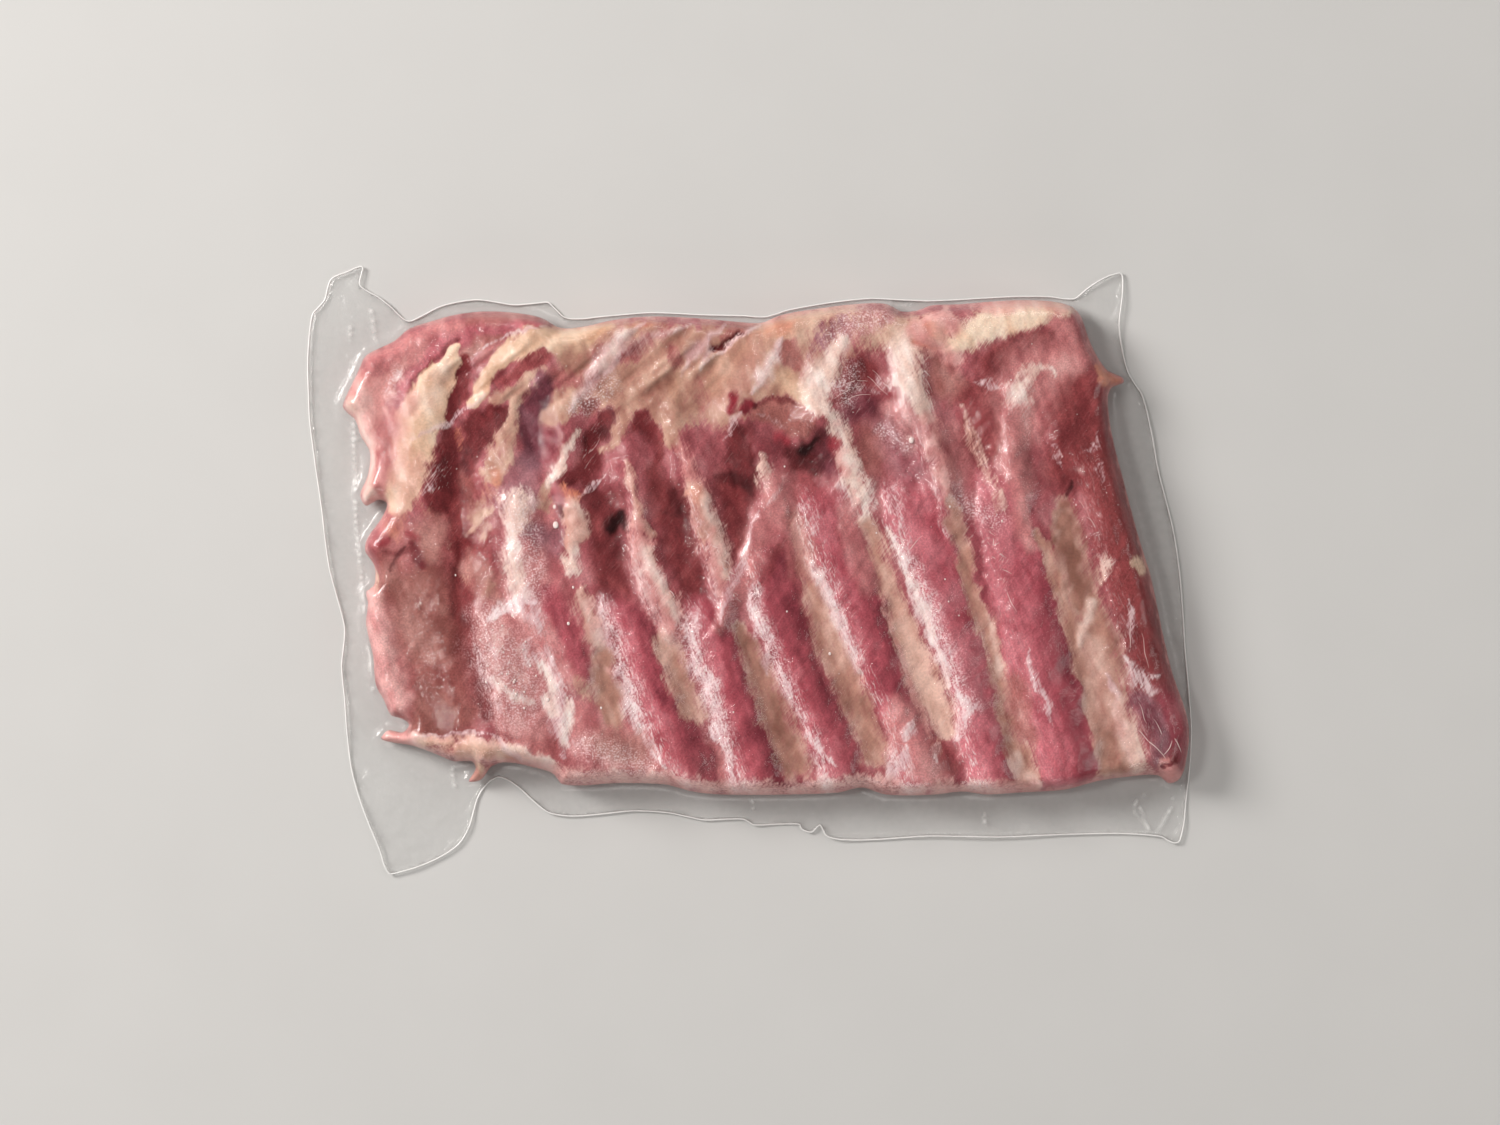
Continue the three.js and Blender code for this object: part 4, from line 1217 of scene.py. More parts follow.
def new_material(name: str) -> tuple[bpy.types.Material, bpy.types.NodeTree]:
    """Make a material with an empty node tree.

    Args:
        name: Name of the material.

    Returns:
        The material and its tree.
    """
    material = bpy.data.materials.new(name)
    material.use_nodes = True
    material.node_tree.nodes.clear()
    return material, material.node_tree


@dataclass(frozen=True)
class RawPork:
    """Raw pork, cut and wet, kept from the air.

    Wet muscle is soft and a little see-through, so light spreads some millimetres under the
    surface and its edges glow. Fibres streak it along the ribs, pale threads cross it, fat and
    sheath end on it in ragged fibres, and its juice gives a broken gloss. Glints on the sheaths
    and the sparkle of fine bubbles under the film are painted into its colour, as pale streaks
    and dots.

    Attributes:
        name: Name of the material.
        fibre_mm: Width and length of a muscle fibre bundle.
        thread_mm: Width and length of a pale thread.
        glint_mm: Width and length of a painted glint on a sheath.
        speck_mm: Size of the fine mottle.
        sparkle_mm: Size of the dots of painted sparkle, for the fine bubbles under the film.
        cloud_mm: Size of the pale clouds.
        scatter_mm: How far light spreads under the surface.
        feather: How far fibres break up fat where it is thin.
        thread: Colour of a pale thread.
        glint: Colour of a painted glint.
        frost_sparkle: Colour of the painted sparkle.
    """

    name: str = "raw_pork_wet"
    fibre_mm: tuple[float, float] = (1.5, 11.0)
    thread_mm: tuple[float, float] = (0.9, 8.0)
    glint_mm: tuple[float, float] = (0.9, 4.0)
    speck_mm: float = 1.1
    sparkle_mm: float = 0.9
    cloud_mm: float = 9.0
    scatter_mm: float = 1.6
    feather: float = 8.5
    thread: str = "#f0dcd8"
    glint: str = "#f8e9e8"
    frost_sparkle: str = "#f1e4e5"

    def streaks(self, tree: bpy.types.NodeTree, place: bpy.types.NodeSocket, lean: float,
                size: tuple[float, float]) -> bpy.types.Node:
        """Add noise that is drawn out along a direction.

        Args:
            tree: The material's tree.
            place: Coordinates.
            lean: Direction of the streaks, off the pack's short side.
            size: Width and length of a streak in millimetres.

        Returns:
            The noise, about 0.5 in the middle.
        """
        grain = add_node(tree, "ShaderNodeMapping",
                         {"Vector": place, "Rotation": (0.0, 0.0, lean),
                          "Scale": (size[0] * MM, size[1] * MM, size[0] * MM)}, vector_type="TEXTURE")
        return add_node(tree, "ShaderNodeTexNoise",
                        {"Vector": grain, "Scale": 1.0, "Detail": 5.0, "Roughness": 0.6, "Distortion": 0.6})

    def make(self) -> bpy.types.Material:
        """Build the node tree and return the material."""
        material, tree = new_material(self.name)
        add = partial(add_node, tree)
        names = ("lean", "fat", "cover", "grain", "thread", "glint", "frost_sparkle", "wet")
        point = {name: add("ShaderNodeAttribute", attribute_name=name) for name in names}
        cover, grain, thread, glint, sparkle_share, wet = (point[name].outputs["Fac"] for name in names[2:])
        place = add("ShaderNodeTexCoord").outputs["Object"]
        fibres = self.streaks(tree, place, RIB_LEAN, self.fibre_mm)
        threads = self.streaks(tree, place, THREAD_LEAN, self.thread_mm)
        glints = self.streaks(tree, place, RIB_LEAN, self.glint_mm)
        both = add("ShaderNodeMath", (fibres, threads), operation="ADD")
        specks, fine, clouds = (
            add("ShaderNodeTexNoise",
                {"Vector": place, "Scale": 1 / (size * MM), "Detail": detail, "Distortion": bend})
            for size, detail, bend in ((self.speck_mm, 2.0, 0.0), (self.sparkle_mm, 3.0, 0.0),
                                       (self.cloud_mm, 5.0, 0.8)))

        # Lean: streaked along its grain, clouded and finely mottled
        streak = add("ShaderNodeMapRange", (both, 0.6, 1.4, 0.78, 1.22))
        lean_gain = add("ShaderNodeMix", {0: grain, 2: 1.0, 3: streak})
        veil = add("ShaderNodeMapRange", (clouds, 0.3, 0.75, 0.95, 1.1))
        fine_gain = add("ShaderNodeMapRange", (fine, 0.3, 0.7, 0.8, 1.2))
        lean = point["lean"]
        for gain in (lean_gain, veil, fine_gain):
            lean = add("ShaderNodeVectorMath", {0: lean, "Scale": gain}, operation="SCALE")

        # Fat: a fine mottle, and fibres that fray it where it thins out
        fat_gain = add("ShaderNodeMapRange", (specks, 0.3, 0.7, 0.9, 1.08))
        fat = add("ShaderNodeVectorMath", {0: point["fat"], "Scale": fat_gain}, operation="SCALE")
        frayed = add("ShaderNodeMath", (both, -1.0), operation="ADD")
        bare = add("ShaderNodeMath", (1.0, cover), operation="SUBTRACT")
        breaks = add("ShaderNodeMath", (bare, cover), operation="MULTIPLY")
        for factor in (frayed, grain):
            breaks = add("ShaderNodeMath", (breaks, factor), operation="MULTIPLY")
        edge = add("ShaderNodeMath", (breaks, self.feather, cover), operation="MULTIPLY_ADD")
        mask = add("ShaderNodeMapRange", (edge, 0.08, 0.92), interpolation_type="SMOOTHSTEP")
        gaps = add("ShaderNodeMapRange", (both, 0.7, 1.02, 0.25, 1.0))
        loose = add("ShaderNodeMix", {0: grain, 2: 1.0, 3: gaps})
        seen = add("ShaderNodeMath", (mask, loose), operation="MULTIPLY")
        flesh = add("ShaderNodeMix", {0: seen, 6: lean, 7: fat}, data_type="RGBA")

        # Pale threads, then painted glints on the sheaths, then painted sparkle
        thin = add("ShaderNodeMapRange", (threads, 0.56, 0.72), interpolation_type="SMOOTHSTEP")
        thick = add("ShaderNodeMapRange", (glints, 0.5, 0.68, 0.0, 0.85), interpolation_type="SMOOTHSTEP")
        dots = add("ShaderNodeMapRange", (fine, 0.45, 0.72, 0.03, 0.68), interpolation_type="SMOOTHSTEP")
        colour = flesh
        for pattern, share, tint in ((thin, thread, self.thread), (thick, glint, self.glint),
                                     (dots, sparkle_share, self.frost_sparkle)):
            laid = add("ShaderNodeMath", (pattern, share), operation="MULTIPLY")
            colour = add("ShaderNodeMix", {0: laid, 6: colour.outputs[2], 7: rgba(tint)}, data_type="RGBA")

        # Broken gloss and the relief of fibres and specks
        dull = add("ShaderNodeMapRange", (specks, 0.3, 0.7, 0.5, 0.68))
        rough = add("ShaderNodeMath", (wet, -0.25, dull), operation="MULTIPLY_ADD")
        height = add("ShaderNodeMath", (specks, 0.5, both), operation="MULTIPLY_ADD")
        bump = add("ShaderNodeBump", {"Height": height, "Strength": 0.3, "Distance": 0.3 * MM})
        shader = add("ShaderNodeBsdfPrincipled",
                     {"Base Color": colour.outputs[2], "Roughness": rough, "Normal": bump, "IOR": 1.4,
                      "Specular IOR Level": 0.12, "Subsurface Weight": 0.12,
                      "Subsurface Radius": (1.0, 0.35, 0.25), "Subsurface Scale": self.scatter_mm * MM})
        add("ShaderNodeOutputMaterial", {"Surface": shader})
        return material


@dataclass(frozen=True)
class ClearFilm:
    """Blown nylon and polythene pouch film, clear and glossy.

    It shows by its reflections, by a faint milkiness where two dry layers lie together, and by
    a brighter line where it is creased. Its gloss rises at a slant on both faces alike.

    Attributes:
        name: Name of the material.
        crinkle_mm: Size of its slight crinkles.
        grain_mm: Size of the fine grain that it takes from the meat under it.
        facing_gloss: Share of light that it reflects where it is seen squarely.
        slant_gloss: Share that it reflects where it is seen edge on.
        milk: Colour of its milkiness.
        clarity: Share of light that passes where it is clear.
        roughness: How dull its gloss is.
    """

    name: str = "clear_pouch_film"
    crinkle_mm: float = 5.0
    grain_mm: float = 1.0
    facing_gloss: float = 0.03
    slant_gloss: float = 0.5
    milk: str = "#f2f2f0"
    clarity: float = 0.985
    roughness: float = 0.11

    def make(self) -> bpy.types.Material:
        """Build the node tree and return the material."""
        material, tree = new_material(self.name)
        add = partial(add_node, tree)
        milk, taut = (add("ShaderNodeAttribute", attribute_name=name).outputs["Fac"]
                      for name in ("milk", "taut"))
        place = add("ShaderNodeTexCoord").outputs["Object"]
        crinkle, grain = (
            add("ShaderNodeTexNoise", {"Vector": place, "Scale": 1 / (size * MM), "Detail": detail})
            for size, detail in ((self.crinkle_mm, 4.0), (self.grain_mm, 2.0)))
        rough = add("ShaderNodeMath", (grain, 0.3, crinkle), operation="MULTIPLY_ADD")
        bump = add("ShaderNodeBump", {"Height": rough, "Strength": 0.6, "Distance": 0.8 * MM})
        cloud = add("ShaderNodeMapRange", (crinkle, 0.3, 0.7, 0.7, 1.3))
        haze = add("ShaderNodeMath", (milk, cloud), operation="MULTIPLY")
        clear = add("ShaderNodeBsdfTransparent", {"Color": (*[self.clarity] * 3, 1.0)})
        white = add("ShaderNodeBsdfDiffuse", {"Color": rgba(self.milk)})
        body = add("ShaderNodeMixShader", (haze, clear, white))
        shine = add("ShaderNodeBsdfGlossy",
                    {"Color": rgba("#ffffff"), "Roughness": self.roughness, "Normal": bump})
        slant = add("ShaderNodeLayerWeight", {"Blend": 0.5, "Normal": bump}).outputs["Facing"]
        steep = add("ShaderNodeMath", (slant, 5.0), operation="POWER")
        gloss = add("ShaderNodeMapRange", (steep, 0.0, 1.0, self.facing_gloss, self.slant_gloss))
        seen = add("ShaderNodeMath", (gloss, taut), operation="MULTIPLY")
        shader = add("ShaderNodeMixShader", (seen, body, shine))
        add("ShaderNodeOutputMaterial", {"Surface": shader})
        return material


@dataclass(frozen=True)
class PlainFinish:
    """A pale finish with a slight mottle: sinew, juice, the film's cut edge, or a studio floor.

    Attributes:
        name: Name of the material.
        dark: Darker colour of the mottle.
        light: Lighter colour.
        mottle_mm: Size of the mottle.
        roughness: How dull it is.
    """

    name: str
    dark: str
    light: str
    mottle_mm: float
    roughness: float

    def make(self) -> bpy.types.Material:
        """Build the node tree and return the material."""
        material, tree = new_material(self.name)
        add = partial(add_node, tree)
        place = add("ShaderNodeTexCoord").outputs["Object"]
        mottle = add("ShaderNodeTexNoise",
                     {"Vector": place, "Scale": 1 / (self.mottle_mm * MM), "Detail": 2.0})
        colour = add("ShaderNodeMix", {0: mottle, 6: rgba(self.dark), 7: rgba(self.light)}, data_type="RGBA")
        shader = add("ShaderNodeBsdfPrincipled",
                     {"Base Color": colour.outputs[2], "Roughness": self.roughness})
        add("ShaderNodeOutputMaterial", {"Surface": shader})
        return material


SINEW = PlainFinish("sinew_moist", "#dcb9b6", "#f0dcd6", 2.0, 0.35)
# Beads of juice are made near-white: a painted highlight for the glints that they catch
BEAD_GLINT = PlainFinish("juice_bead_glint", "#e6cbc6", "#f8ece7", 2.0, 0.3)
# The film's cut edge is made pale: a painted highlight for the light that it catches
CUT_EDGE_SHINE = PlainFinish("film_cut_edge", "#dcdcda", "#f4f4f2", 3.0, 0.25)
FLOOR = PlainFinish("studio_floor_pale", "#c6c6c4", "#cacac8", 60.0, 0.8)


@dataclass
class PackSolid:
    """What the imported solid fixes: its two outlines and its height.

    Attributes:
        loop_step: Spacing of points along the outlines, in millimetres.
        margin_top: Height of the solid's flat margin.
        slack: How far off a level a point may lie and still count as on it.
        sky: Height from which the solid is probed.
        slab: Outline of the slab.
        pouch: Outline of the pouch.
        tree: The solid, ready for probing.
    """

    loop_step: float = 1.2
    margin_top: float = 1.2
    slack: float = 0.05
    sky: float = 100.0
    slab: Outline = field(init=False)
    pouch: Outline = field(init=False)
    tree: BVHTree = field(init=False)

    def __post_init__(self) -> None:
        """Read the node's mesh."""
        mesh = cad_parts[NODE].data
        mesh.calc_loop_triangles()
        corners = np.array([v.co for v in mesh.vertices]) / MM
        triangles = np.array([t.vertices for t in mesh.loop_triangles])
        self.tree = BVHTree.FromPolygons(corners.tolist(), triangles.tolist())
        places, merged = np.unique(np.round(corners, 2), axis=0, return_inverse=True)
        triangles = merged.ravel()[triangles]
        level = places[:, 2][triangles]
        on_floor, on_margin = ((np.abs(level - z) < self.slack).all(axis=1) for z in (0.0, self.margin_top))
        self.pouch = self.outlines(places, triangles[on_floor])[0]
        self.slab = self.outlines(places, triangles[on_margin])[1]

    def outlines(self, places: Array, triangles: Array) -> list[Outline]:
        """Find the closed outlines of a flat patch of triangles.

        Args:
            places: Points of the solid.
            triangles: The patch.

        Returns:
            Evenly spaced outlines, the longest first.
        """
        edges = sides_of(triangles)
        _, first, count = np.unique(np.sort(edges, axis=1), axis=0, return_index=True, return_counts=True)
        following = dict(edges[first[count == 1]].tolist())
        loops = []
        while following:
            start, here = following.popitem()
            loop = [start]
            while here != start:
                loop.append(here)
                here = following.pop(here)
            loops.append(even_loop(places[loop][:, :2], self.loop_step))
        return [Outline(loop) for loop in sorted(loops, key=len, reverse=True)]

    def height(self, point: Array) -> float:
        """Give the solid's height at a place, in millimetres."""
        hit = self.tree.ray_cast(Vector((point[0], point[1], self.sky)), Vector((0.0, 0.0, -1.0)))[0]
        return hit.z if hit else 0.0


@dataclass
class PackLattice:
    """The places that the slab's top and the film share, so that the film never cuts the meat.

    Attributes:
        solid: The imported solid.
        slab_step: Spacing of places on the slab.
        margin_step: Spacing on the film's margin.
        under_step: Spacing on the undersides.
        under_rim: Least depth of a place on an underside.
        rim_rings: Depths of the rows of places beside the slab's outline.
        ring_rim: Least depth of such a place inside the pouch.
    """

    solid: PackSolid
    slab_step: float = 1.15
    margin_step: float = 1.9
    under_step: float = 5.0
    under_rim: float = 1.2
    rim_rings: tuple[float, ...] = (0.4, -0.8, -2.0)
    ring_rim: float = 0.4

    def __post_init__(self) -> None:
        """Place the points and join them."""
        slab, pouch = self.solid.slab, self.solid.pouch
        low, high = pouch.points.min(axis=0), pouch.points.max(axis=0)
        fine = hex_grid(low, high, self.slab_step)
        fine = fine[slab.depth(fine) > 0.95 * self.slab_step]
        coarse = hex_grid(low, high, self.margin_step)
        coarse = coarse[slab.depth(coarse) < min(self.rim_rings) - 0.6 * self.margin_step]
        coarse = coarse[pouch.depth(coarse) > 0.5 * self.margin_step]
        rings = [self.ring(inset) for inset in self.rim_rings]
        self.points = np.vstack([slab.points, pouch.points, fine, coarse, *rings])
        self.slab_loop = np.arange(len(slab.points))
        self.pouch_loop = len(slab.points) + np.arange(len(pouch.points))
        self.depth, self.near = slab.measure(self.points)
        self.depth[self.slab_loop] = 0.0
        triangles = triangulate(self.points, [self.slab_loop, self.pouch_loop])
        self.triangles = triangles[pouch.depth(self.points[triangles].mean(axis=1)) > 0.0]
        self.on_slab = slab.depth(self.points[self.triangles].mean(axis=1)) > 0.0
        pairs = sides_of(self.triangles)
        self.pairs = np.vstack([pairs, pairs[:, ::-1]])

    def ring(self, inset: float) -> Array:
        """Place points along the slab's outline, just inside or outside it.

        Args:
            inset: How far inside, negative for outside.

        Returns:
            The points that keep clear of other stretches of both outlines.
        """
        points = self.solid.slab.inset(inset)
        clear = self.solid.slab.depth(points) * np.sign(inset) > 0.9 * abs(inset)
        return points[clear & (self.solid.pouch.depth(points) > self.ring_rim)]

    def spread(self, values: Array, rounds: int, held: Array | None = None) -> Array:
        """Even out values between neighbours.

        Args:
            values: One value for each place.
            rounds: How many times.
            held: Places that keep their value.

        Returns:
            The evened values.
        """
        count = len(values)
        degree = np.maximum(np.bincount(self.pairs[:, 0], minlength=count), 1)
        fixed = values.copy()
        for _ in range(rounds):
            total = np.bincount(self.pairs[:, 0], weights=values[self.pairs[:, 1]], minlength=count)
            values = total / degree
            if held is not None:
                values[held] = fixed[held]
        return values

    def widest(self, rounds: int) -> Array:
        """Give the greatest depth inside the slab among the places round each one.

        Args:
            rounds: How many neighbours away to look.

        Returns:
            One depth for each place, in millimetres.
        """
        best = np.maximum(self.depth, 0.0)
        for _ in range(rounds):
            grown = best.copy()
            np.maximum.at(grown, self.pairs[:, 0], best[self.pairs[:, 1]])
            best = grown
        return best

    def under(self, loop: Array) -> tuple[Array, Array]:
        """Make the coarse sheet that closes a piece from below.

        Args:
            loop: Places along its outline.

        Returns:
            The new places inside the outline, and triangles facing down; an index below the
            number of lattice places is a lattice place.
        """
        outline = Outline(self.points[loop])
        inner = hex_grid(outline.points.min(axis=0), outline.points.max(axis=0), self.under_step)
        inner = inner[outline.depth(inner) > self.under_rim]
        places = np.vstack([outline.points, inner])
        triangles = triangulate(places, [np.arange(len(loop))])
        triangles = triangles[outline.depth(places[triangles].mean(axis=1)) > 0.0]
        index = np.concatenate([loop, len(self.points) + np.arange(len(inner))])
        return inner, index[triangles][:, ::-1]


@dataclass
class RibRack:
    """The slab of raw spare ribs, with its tissues painted as point values.

    Attributes:
        lattice: The shared places.
        roll: Width of the rounded shoulder, in millimetres.
        rim: Height of its outline above the table.
        cad_roll: Width of the solid's own shoulder, inside which its height is used.
        usual: Height that the shoulder starts from before it is evened out.
        even_rounds: How often its height is evened out, first outside the known part, then all over.
        narrow_rounds: How many neighbours away a place looks for the slab's width.
        narrow_top, narrow_rim: Greatest height where it is narrow, and rise with its width.
        floor_gap: Film and air under the slab.
        under_roll: How far the edge of the underside curls up.
        relief: How strongly raised marks stand out.
        fold_rise: Height of the folds in the upper fat.
        fold_light_and_shade: How much paler their crests and deeper their creases are painted: painted light
            and shade.
        rim_glow_cover: How strongly pale pink is laid along the outline, from 0 to 1: painted light, for the
            glow of the thin edge.
        globule_cover: The same for small globules of fat.
        sheath_sheen_cover: The same for sheath on a muscle's lit left side, which is partly a painted sheen.
        border_cover: The same for the white border of a bared bone.
        thread_cover: How strongly pale threads show all over, and how much more where they gather.
        bends: What bends the marks along X and Y.
        lumps, fibres, waves: What gives the top its lumps, its fibres and the folds of its fat.
        mottle: What makes a place deep or pale.
        ragged: What frays the edges of marks.
        roll_waver, rim_waver: What varies the shoulder's width and the outline's height.
        globules, patches, under_fat: Where globules, sheath and the underside's fat lie.
        top: Height of the slab's top at each place, once it is shaped.
    """

    lattice: PackLattice
    roll: float = 9.0
    rim: float = 6.5
    cad_roll: float = 13.0
    usual: float = 22.0
    even_rounds: tuple[int, int] = (280, 10)
    narrow_rounds: int = 7
    narrow_top: tuple[float, float] = (4.0, 1.7)
    narrow_rim: tuple[float, float] = (2.0, 0.6)
    floor_gap: float = 0.4
    under_roll: float = 4.0
    relief: float = 1.4
    fold_rise: float = 0.9
    fold_light_and_shade: float = 0.3
    rim_glow_cover: float = 0.6
    globule_cover: float = 0.55
    sheath_sheen_cover: float = 0.42
    border_cover: float = 0.4
    thread_cover: tuple[float, float] = (0.05, 0.5)
    bends: tuple[tuple[Noise, ...], ...] = (
        (Noise(1.9, 9.0, 51, layers=3), Noise(0.8, 3.2, 52, 1.6)),
        (Noise(1.9, 9.0, 61, layers=3), Noise(0.8, 3.2, 62, 1.6)),
    )
    lumps: tuple[Noise, ...] = (
        Noise(0.35, 14.0, 11, 1.6, layers=3), Noise(0.3, 5.0, 12, 2.2, layers=2),
        Noise(0.26, 3.4, 19, 4.5, THREAD_LEAN),
    )
    fibres: tuple[Noise, ...] = (Noise(0.10, 1.9, 13, 5.0), Noise(0.07, 1.6, 14, 4.0, THREAD_LEAN))
    waves: tuple[Noise, ...] = (Noise(1.0, 4.5, 17, 5.0, FOLD_LEAN), Noise(0.5, 2.2, 18, 6.0, FOLD_LEAN))
    mottle: tuple[Noise, ...] = (Noise(0.3, 7.0, 21, 1.6, layers=4), Noise(0.14, 2.6, 22, 3.0))
    ragged: tuple[Noise, ...] = (
        Noise(0.30, 3.0, 23, 2.2), Noise(0.26, 2.4, 24, 2.6, THREAD_LEAN),
        Noise(0.22, 8.0, 25, 1.5, layers=2),
    )
    roll_waver: Noise = Noise(0.25, 30.0, 15, layers=2)
    rim_waver: Noise = Noise(1.2, 18.0, 16, layers=2)
    globules: Noise = Noise(1.0, 5.0, 28, layers=3)
    patches: Noise = Noise(1.0, 9.0, 27, 1.6, layers=2)
    under_fat: Noise = Noise(1.0, 26.0, 26, layers=3)
    top: Array = field(init=False)

    def warp(self, points: Array) -> Array:
        """Bend places a little, so that marks get natural outlines."""
        return points + np.column_stack([add_up(bend, points) for bend in self.bends])

    def shape(self) -> None:
        """Work out the height of the slab's top at every place."""
        lattice = self.lattice
        points, depth = lattice.points, lattice.depth

        # The solid's height inside its shoulder, carried out to the outline and kept low where narrow
        known = depth > self.cad_roll
        full = np.full(len(points), self.usual)
        full[known] = [lattice.solid.height(p) for p in points[known]]
        full = lattice.spread(full, self.even_rounds[0], known)
        full = lattice.spread(full, self.even_rounds[1])
        widest = lattice.widest(self.narrow_rounds)
        full = np.minimum(full, self.narrow_top[0] + self.narrow_top[1] * widest)

        # Lumps, fibres, folds, muscles and raised marks, then the rounded shoulder
        full = full + add_up(self.lumps, points) + add_up(self.fibres, points)
        full = full + self.fold_rise * self.folds(points) + self.mark_relief(self.warp(points))
        low = self.narrow_rim[0] + self.narrow_rim[1] * widest
        rim = np.minimum(self.rim + self.rim_waver.at(points), low)
        roll = self.roll * (1.0 + self.roll_waver.at(points))
        self.top = rim + (full - rim) * shoulder(depth, roll)
        LOG.info("slab top from %.1f to %.1f mm", self.top[depth > 5].min(), self.top[depth > 5].max())

    def folds(self, points: Array) -> Array:
        """Give the folds of the upper fat: -1 in a crease, 1 on a crest, 0 where it isn't folded."""
        folded = smooth(1.2, 0.5, Mark(TAN_FAT, FOLDED).reach(points))
        return folded * add_up(self.waves, points)

    def mark_relief(self, points: Array) -> Array:
        """Add up how far the marks and the swollen muscles stand proud.

        Args:
            points: Places in millimetres.

        Returns:
            One height for each place.
        """
        total = np.zeros(len(points))
        for mark in ALL_MARKS:
            if mark.rise:
                proud = self.relief * mark.rise * mark.tissue.value.body
                total += proud * smooth(1.5, 0.1, mark.reach(points))
        for muscle in MUSCLES:
            total += muscle.height(points)
        return total

    def paint(self, points: Array, depth: Array, marks: tuple[Mark, ...]) -> dict[str, Array]:
        """Choose tissue colours and grain for places on the slab.

        Args:
            points: Places in millimetres.
            depth: How far each lies inside the outline.
            marks: What shows there, or nothing for the underside.

        Returns:
            Point values by name.
        """
        count = len(points)
        shown = float(bool(marks))
        muscles = MUSCLES if marks else ()
        # The folds are painted paler on their crests and deeper in their creases: painted light and shade
        mottle = add_up(self.mottle, points, 0.5) + self.fold_light_and_shade * self.folds(points)
        ragged = add_up(self.ragged, points)
        bent = self.warp(points)
        values = {"lean": LEAN.value.blend(mottle), "fat": PINK_FAT.value.blend(mottle),
                  "cover": np.zeros(count), "grain": np.ones(count), "wet": np.full(count, LEAN.value.wet)}
        if not marks:
            values["cover"] += smooth(0.15, 0.75, self.under_fat.at(points))

        # Broad fields, the muscles on them, and everything finer
        for mark in marks[:len(BROAD_FIELDS)]:
            self.lay_mark(values, mark, bent, ragged, mottle)
        for muscle in muscles:
            across, ends = muscle.across(bent)
            inside = ends * smooth(-0.04, 0.1, across) * smooth(1.04, 0.9, across)
            # Painted light and shade: each muscle is painted paler at its left, where the light falls, and
            # darker towards its right
            lit_left_shaded_right = 0.5 + 0.85 * (mottle - 0.5) + 0.16 - 0.5 * smooth(0.2, 1.0, across)
            self.lay(values, Mark(muscle.tissue, tone=muscle.tone), muscle.cover * inside, lit_left_shaded_right)
        for mark in marks[len(BROAD_FIELDS):]:
            self.lay_mark(values, mark, bent, ragged, mottle)

        # Globules of fat; white sheath on the muscles' left sides, where the light falls, partly a painted
        # sheen; painted glints on their crests; and the pale rim, painted light
        spread = nearest(PINK_FAT, GLOBULES, bent)
        lumps = smooth(-0.05, 0.5, self.globules.at(points)) * smooth(1.4, 0.5, spread)
        self.lay(values, Mark(PINK_FAT, tone=0.15), self.globule_cover * lumps * shown, mottle)
        glint = np.zeros(count)
        patches = smooth(-0.75, 0.35, self.patches.at(points))
        for muscle in muscles:
            across, ends = muscle.across(bent)
            crest = smooth(-0.06, 0.06, across) * smooth(0.46, 0.12, across)
            glint = np.maximum(glint, muscle.sheath * ends * crest)
            # White sheath on the lit left side: partly real sheath, partly a painted sheen
            edge = smooth(-0.12, 0.08, across) * smooth(0.5, 0.08, across + 0.15 * ragged)
            sheath = self.sheath_sheen_cover * muscle.sheath * ends * edge * patches
            self.lay(values, Mark(FASCIA, tone=0.1), sheath, mottle)
        # Painted light: pale pink along the outline stands for the glow of the thin, see-through edge
        rim = self.rim_glow_cover * smooth(2.4, 0.4, depth + 3.0 * ragged)
        self.lay(values, Mark(PINK_FAT), rim, mottle)

        # What the material draws finer than the points: painted glints, painted sparkle and threads
        plain, gathered = self.thread_cover
        values["glint"] = glint
        values["frost_sparkle"] = smooth(1.4, 0.1, nearest(LEAN, SPARKLED, bent) + 0.5 * ragged) * shown
        values["thread"] = plain + gathered * smooth(1.2, 0.3, nearest(FASCIA, THREADED, bent)) * shown
        return values

    def lay_mark(self, values: dict[str, Array], mark: Mark, points: Array, ragged: Array,
                 mottle: Array) -> None:
        """Lay one mark over what is painted so far.

        Args:
            values: Point values by name, which change.
            mark: What is laid.
            points: Places in millimetres, already bent.
            ragged: Noise that frays its edge.
            mottle: Where each place lies between deep and pale.
        """
        least, more, most = EDGE_FADE
        soft = min(most, least + more * mark.soft)
        fray = min(1.0, CRISP_EDGE_PX / max(row[2] for row in mark.path))
        if mark.soft < CRISP_BELOW:
            soft = soft * math.sqrt(fray)
        reach = mark.reach(points) + ragged * fray
        if not mark.tissue.value.covers:
            reach = reach - LEAN_SPREAD * mark.soft
        share = mark.cover * mark.tissue.value.body * smooth(1.0 + soft, 1.0 - soft, reach)
        self.lay(values, mark, share, mottle)
        if mark.tissue is BONE:
            border = smooth(0.5, 0.0, np.abs(reach - 1.0)) * smooth(-0.6, 0.5, ragged)
            self.lay(values, Mark(WHITE_FAT, tone=-0.25), self.border_cover * mark.cover * border, mottle)

    def lay(self, values: dict[str, Array], mark: Mark, share: Array, mottle: Array) -> None:
        """Lay one tissue over what is painted so far.

        Args:
            values: Point values by name, which change.
            mark: What is laid.
            share: How fully it covers each place.
            mottle: Where each place lies between deep and pale.
        """
        tone = mark.tissue.value
        colour = tone.blend(mottle + mark.tone)
        if tone.covers:
            whole = values["cover"] + (1.0 - values["cover"]) * share
            fresh = share / np.maximum(whole, 1e-6)
            values["fat"] += (colour - values["fat"]) * fresh[:, None]
            values["cover"] = whole
        else:
            values["lean"] += (colour - values["lean"]) * share[:, None]
            values["cover"] = values["cover"] * (1.0 - share)
        values["grain"] += (tone.grain - values["grain"]) * share
        values["wet"] += (tone.wet - values["wet"]) * share

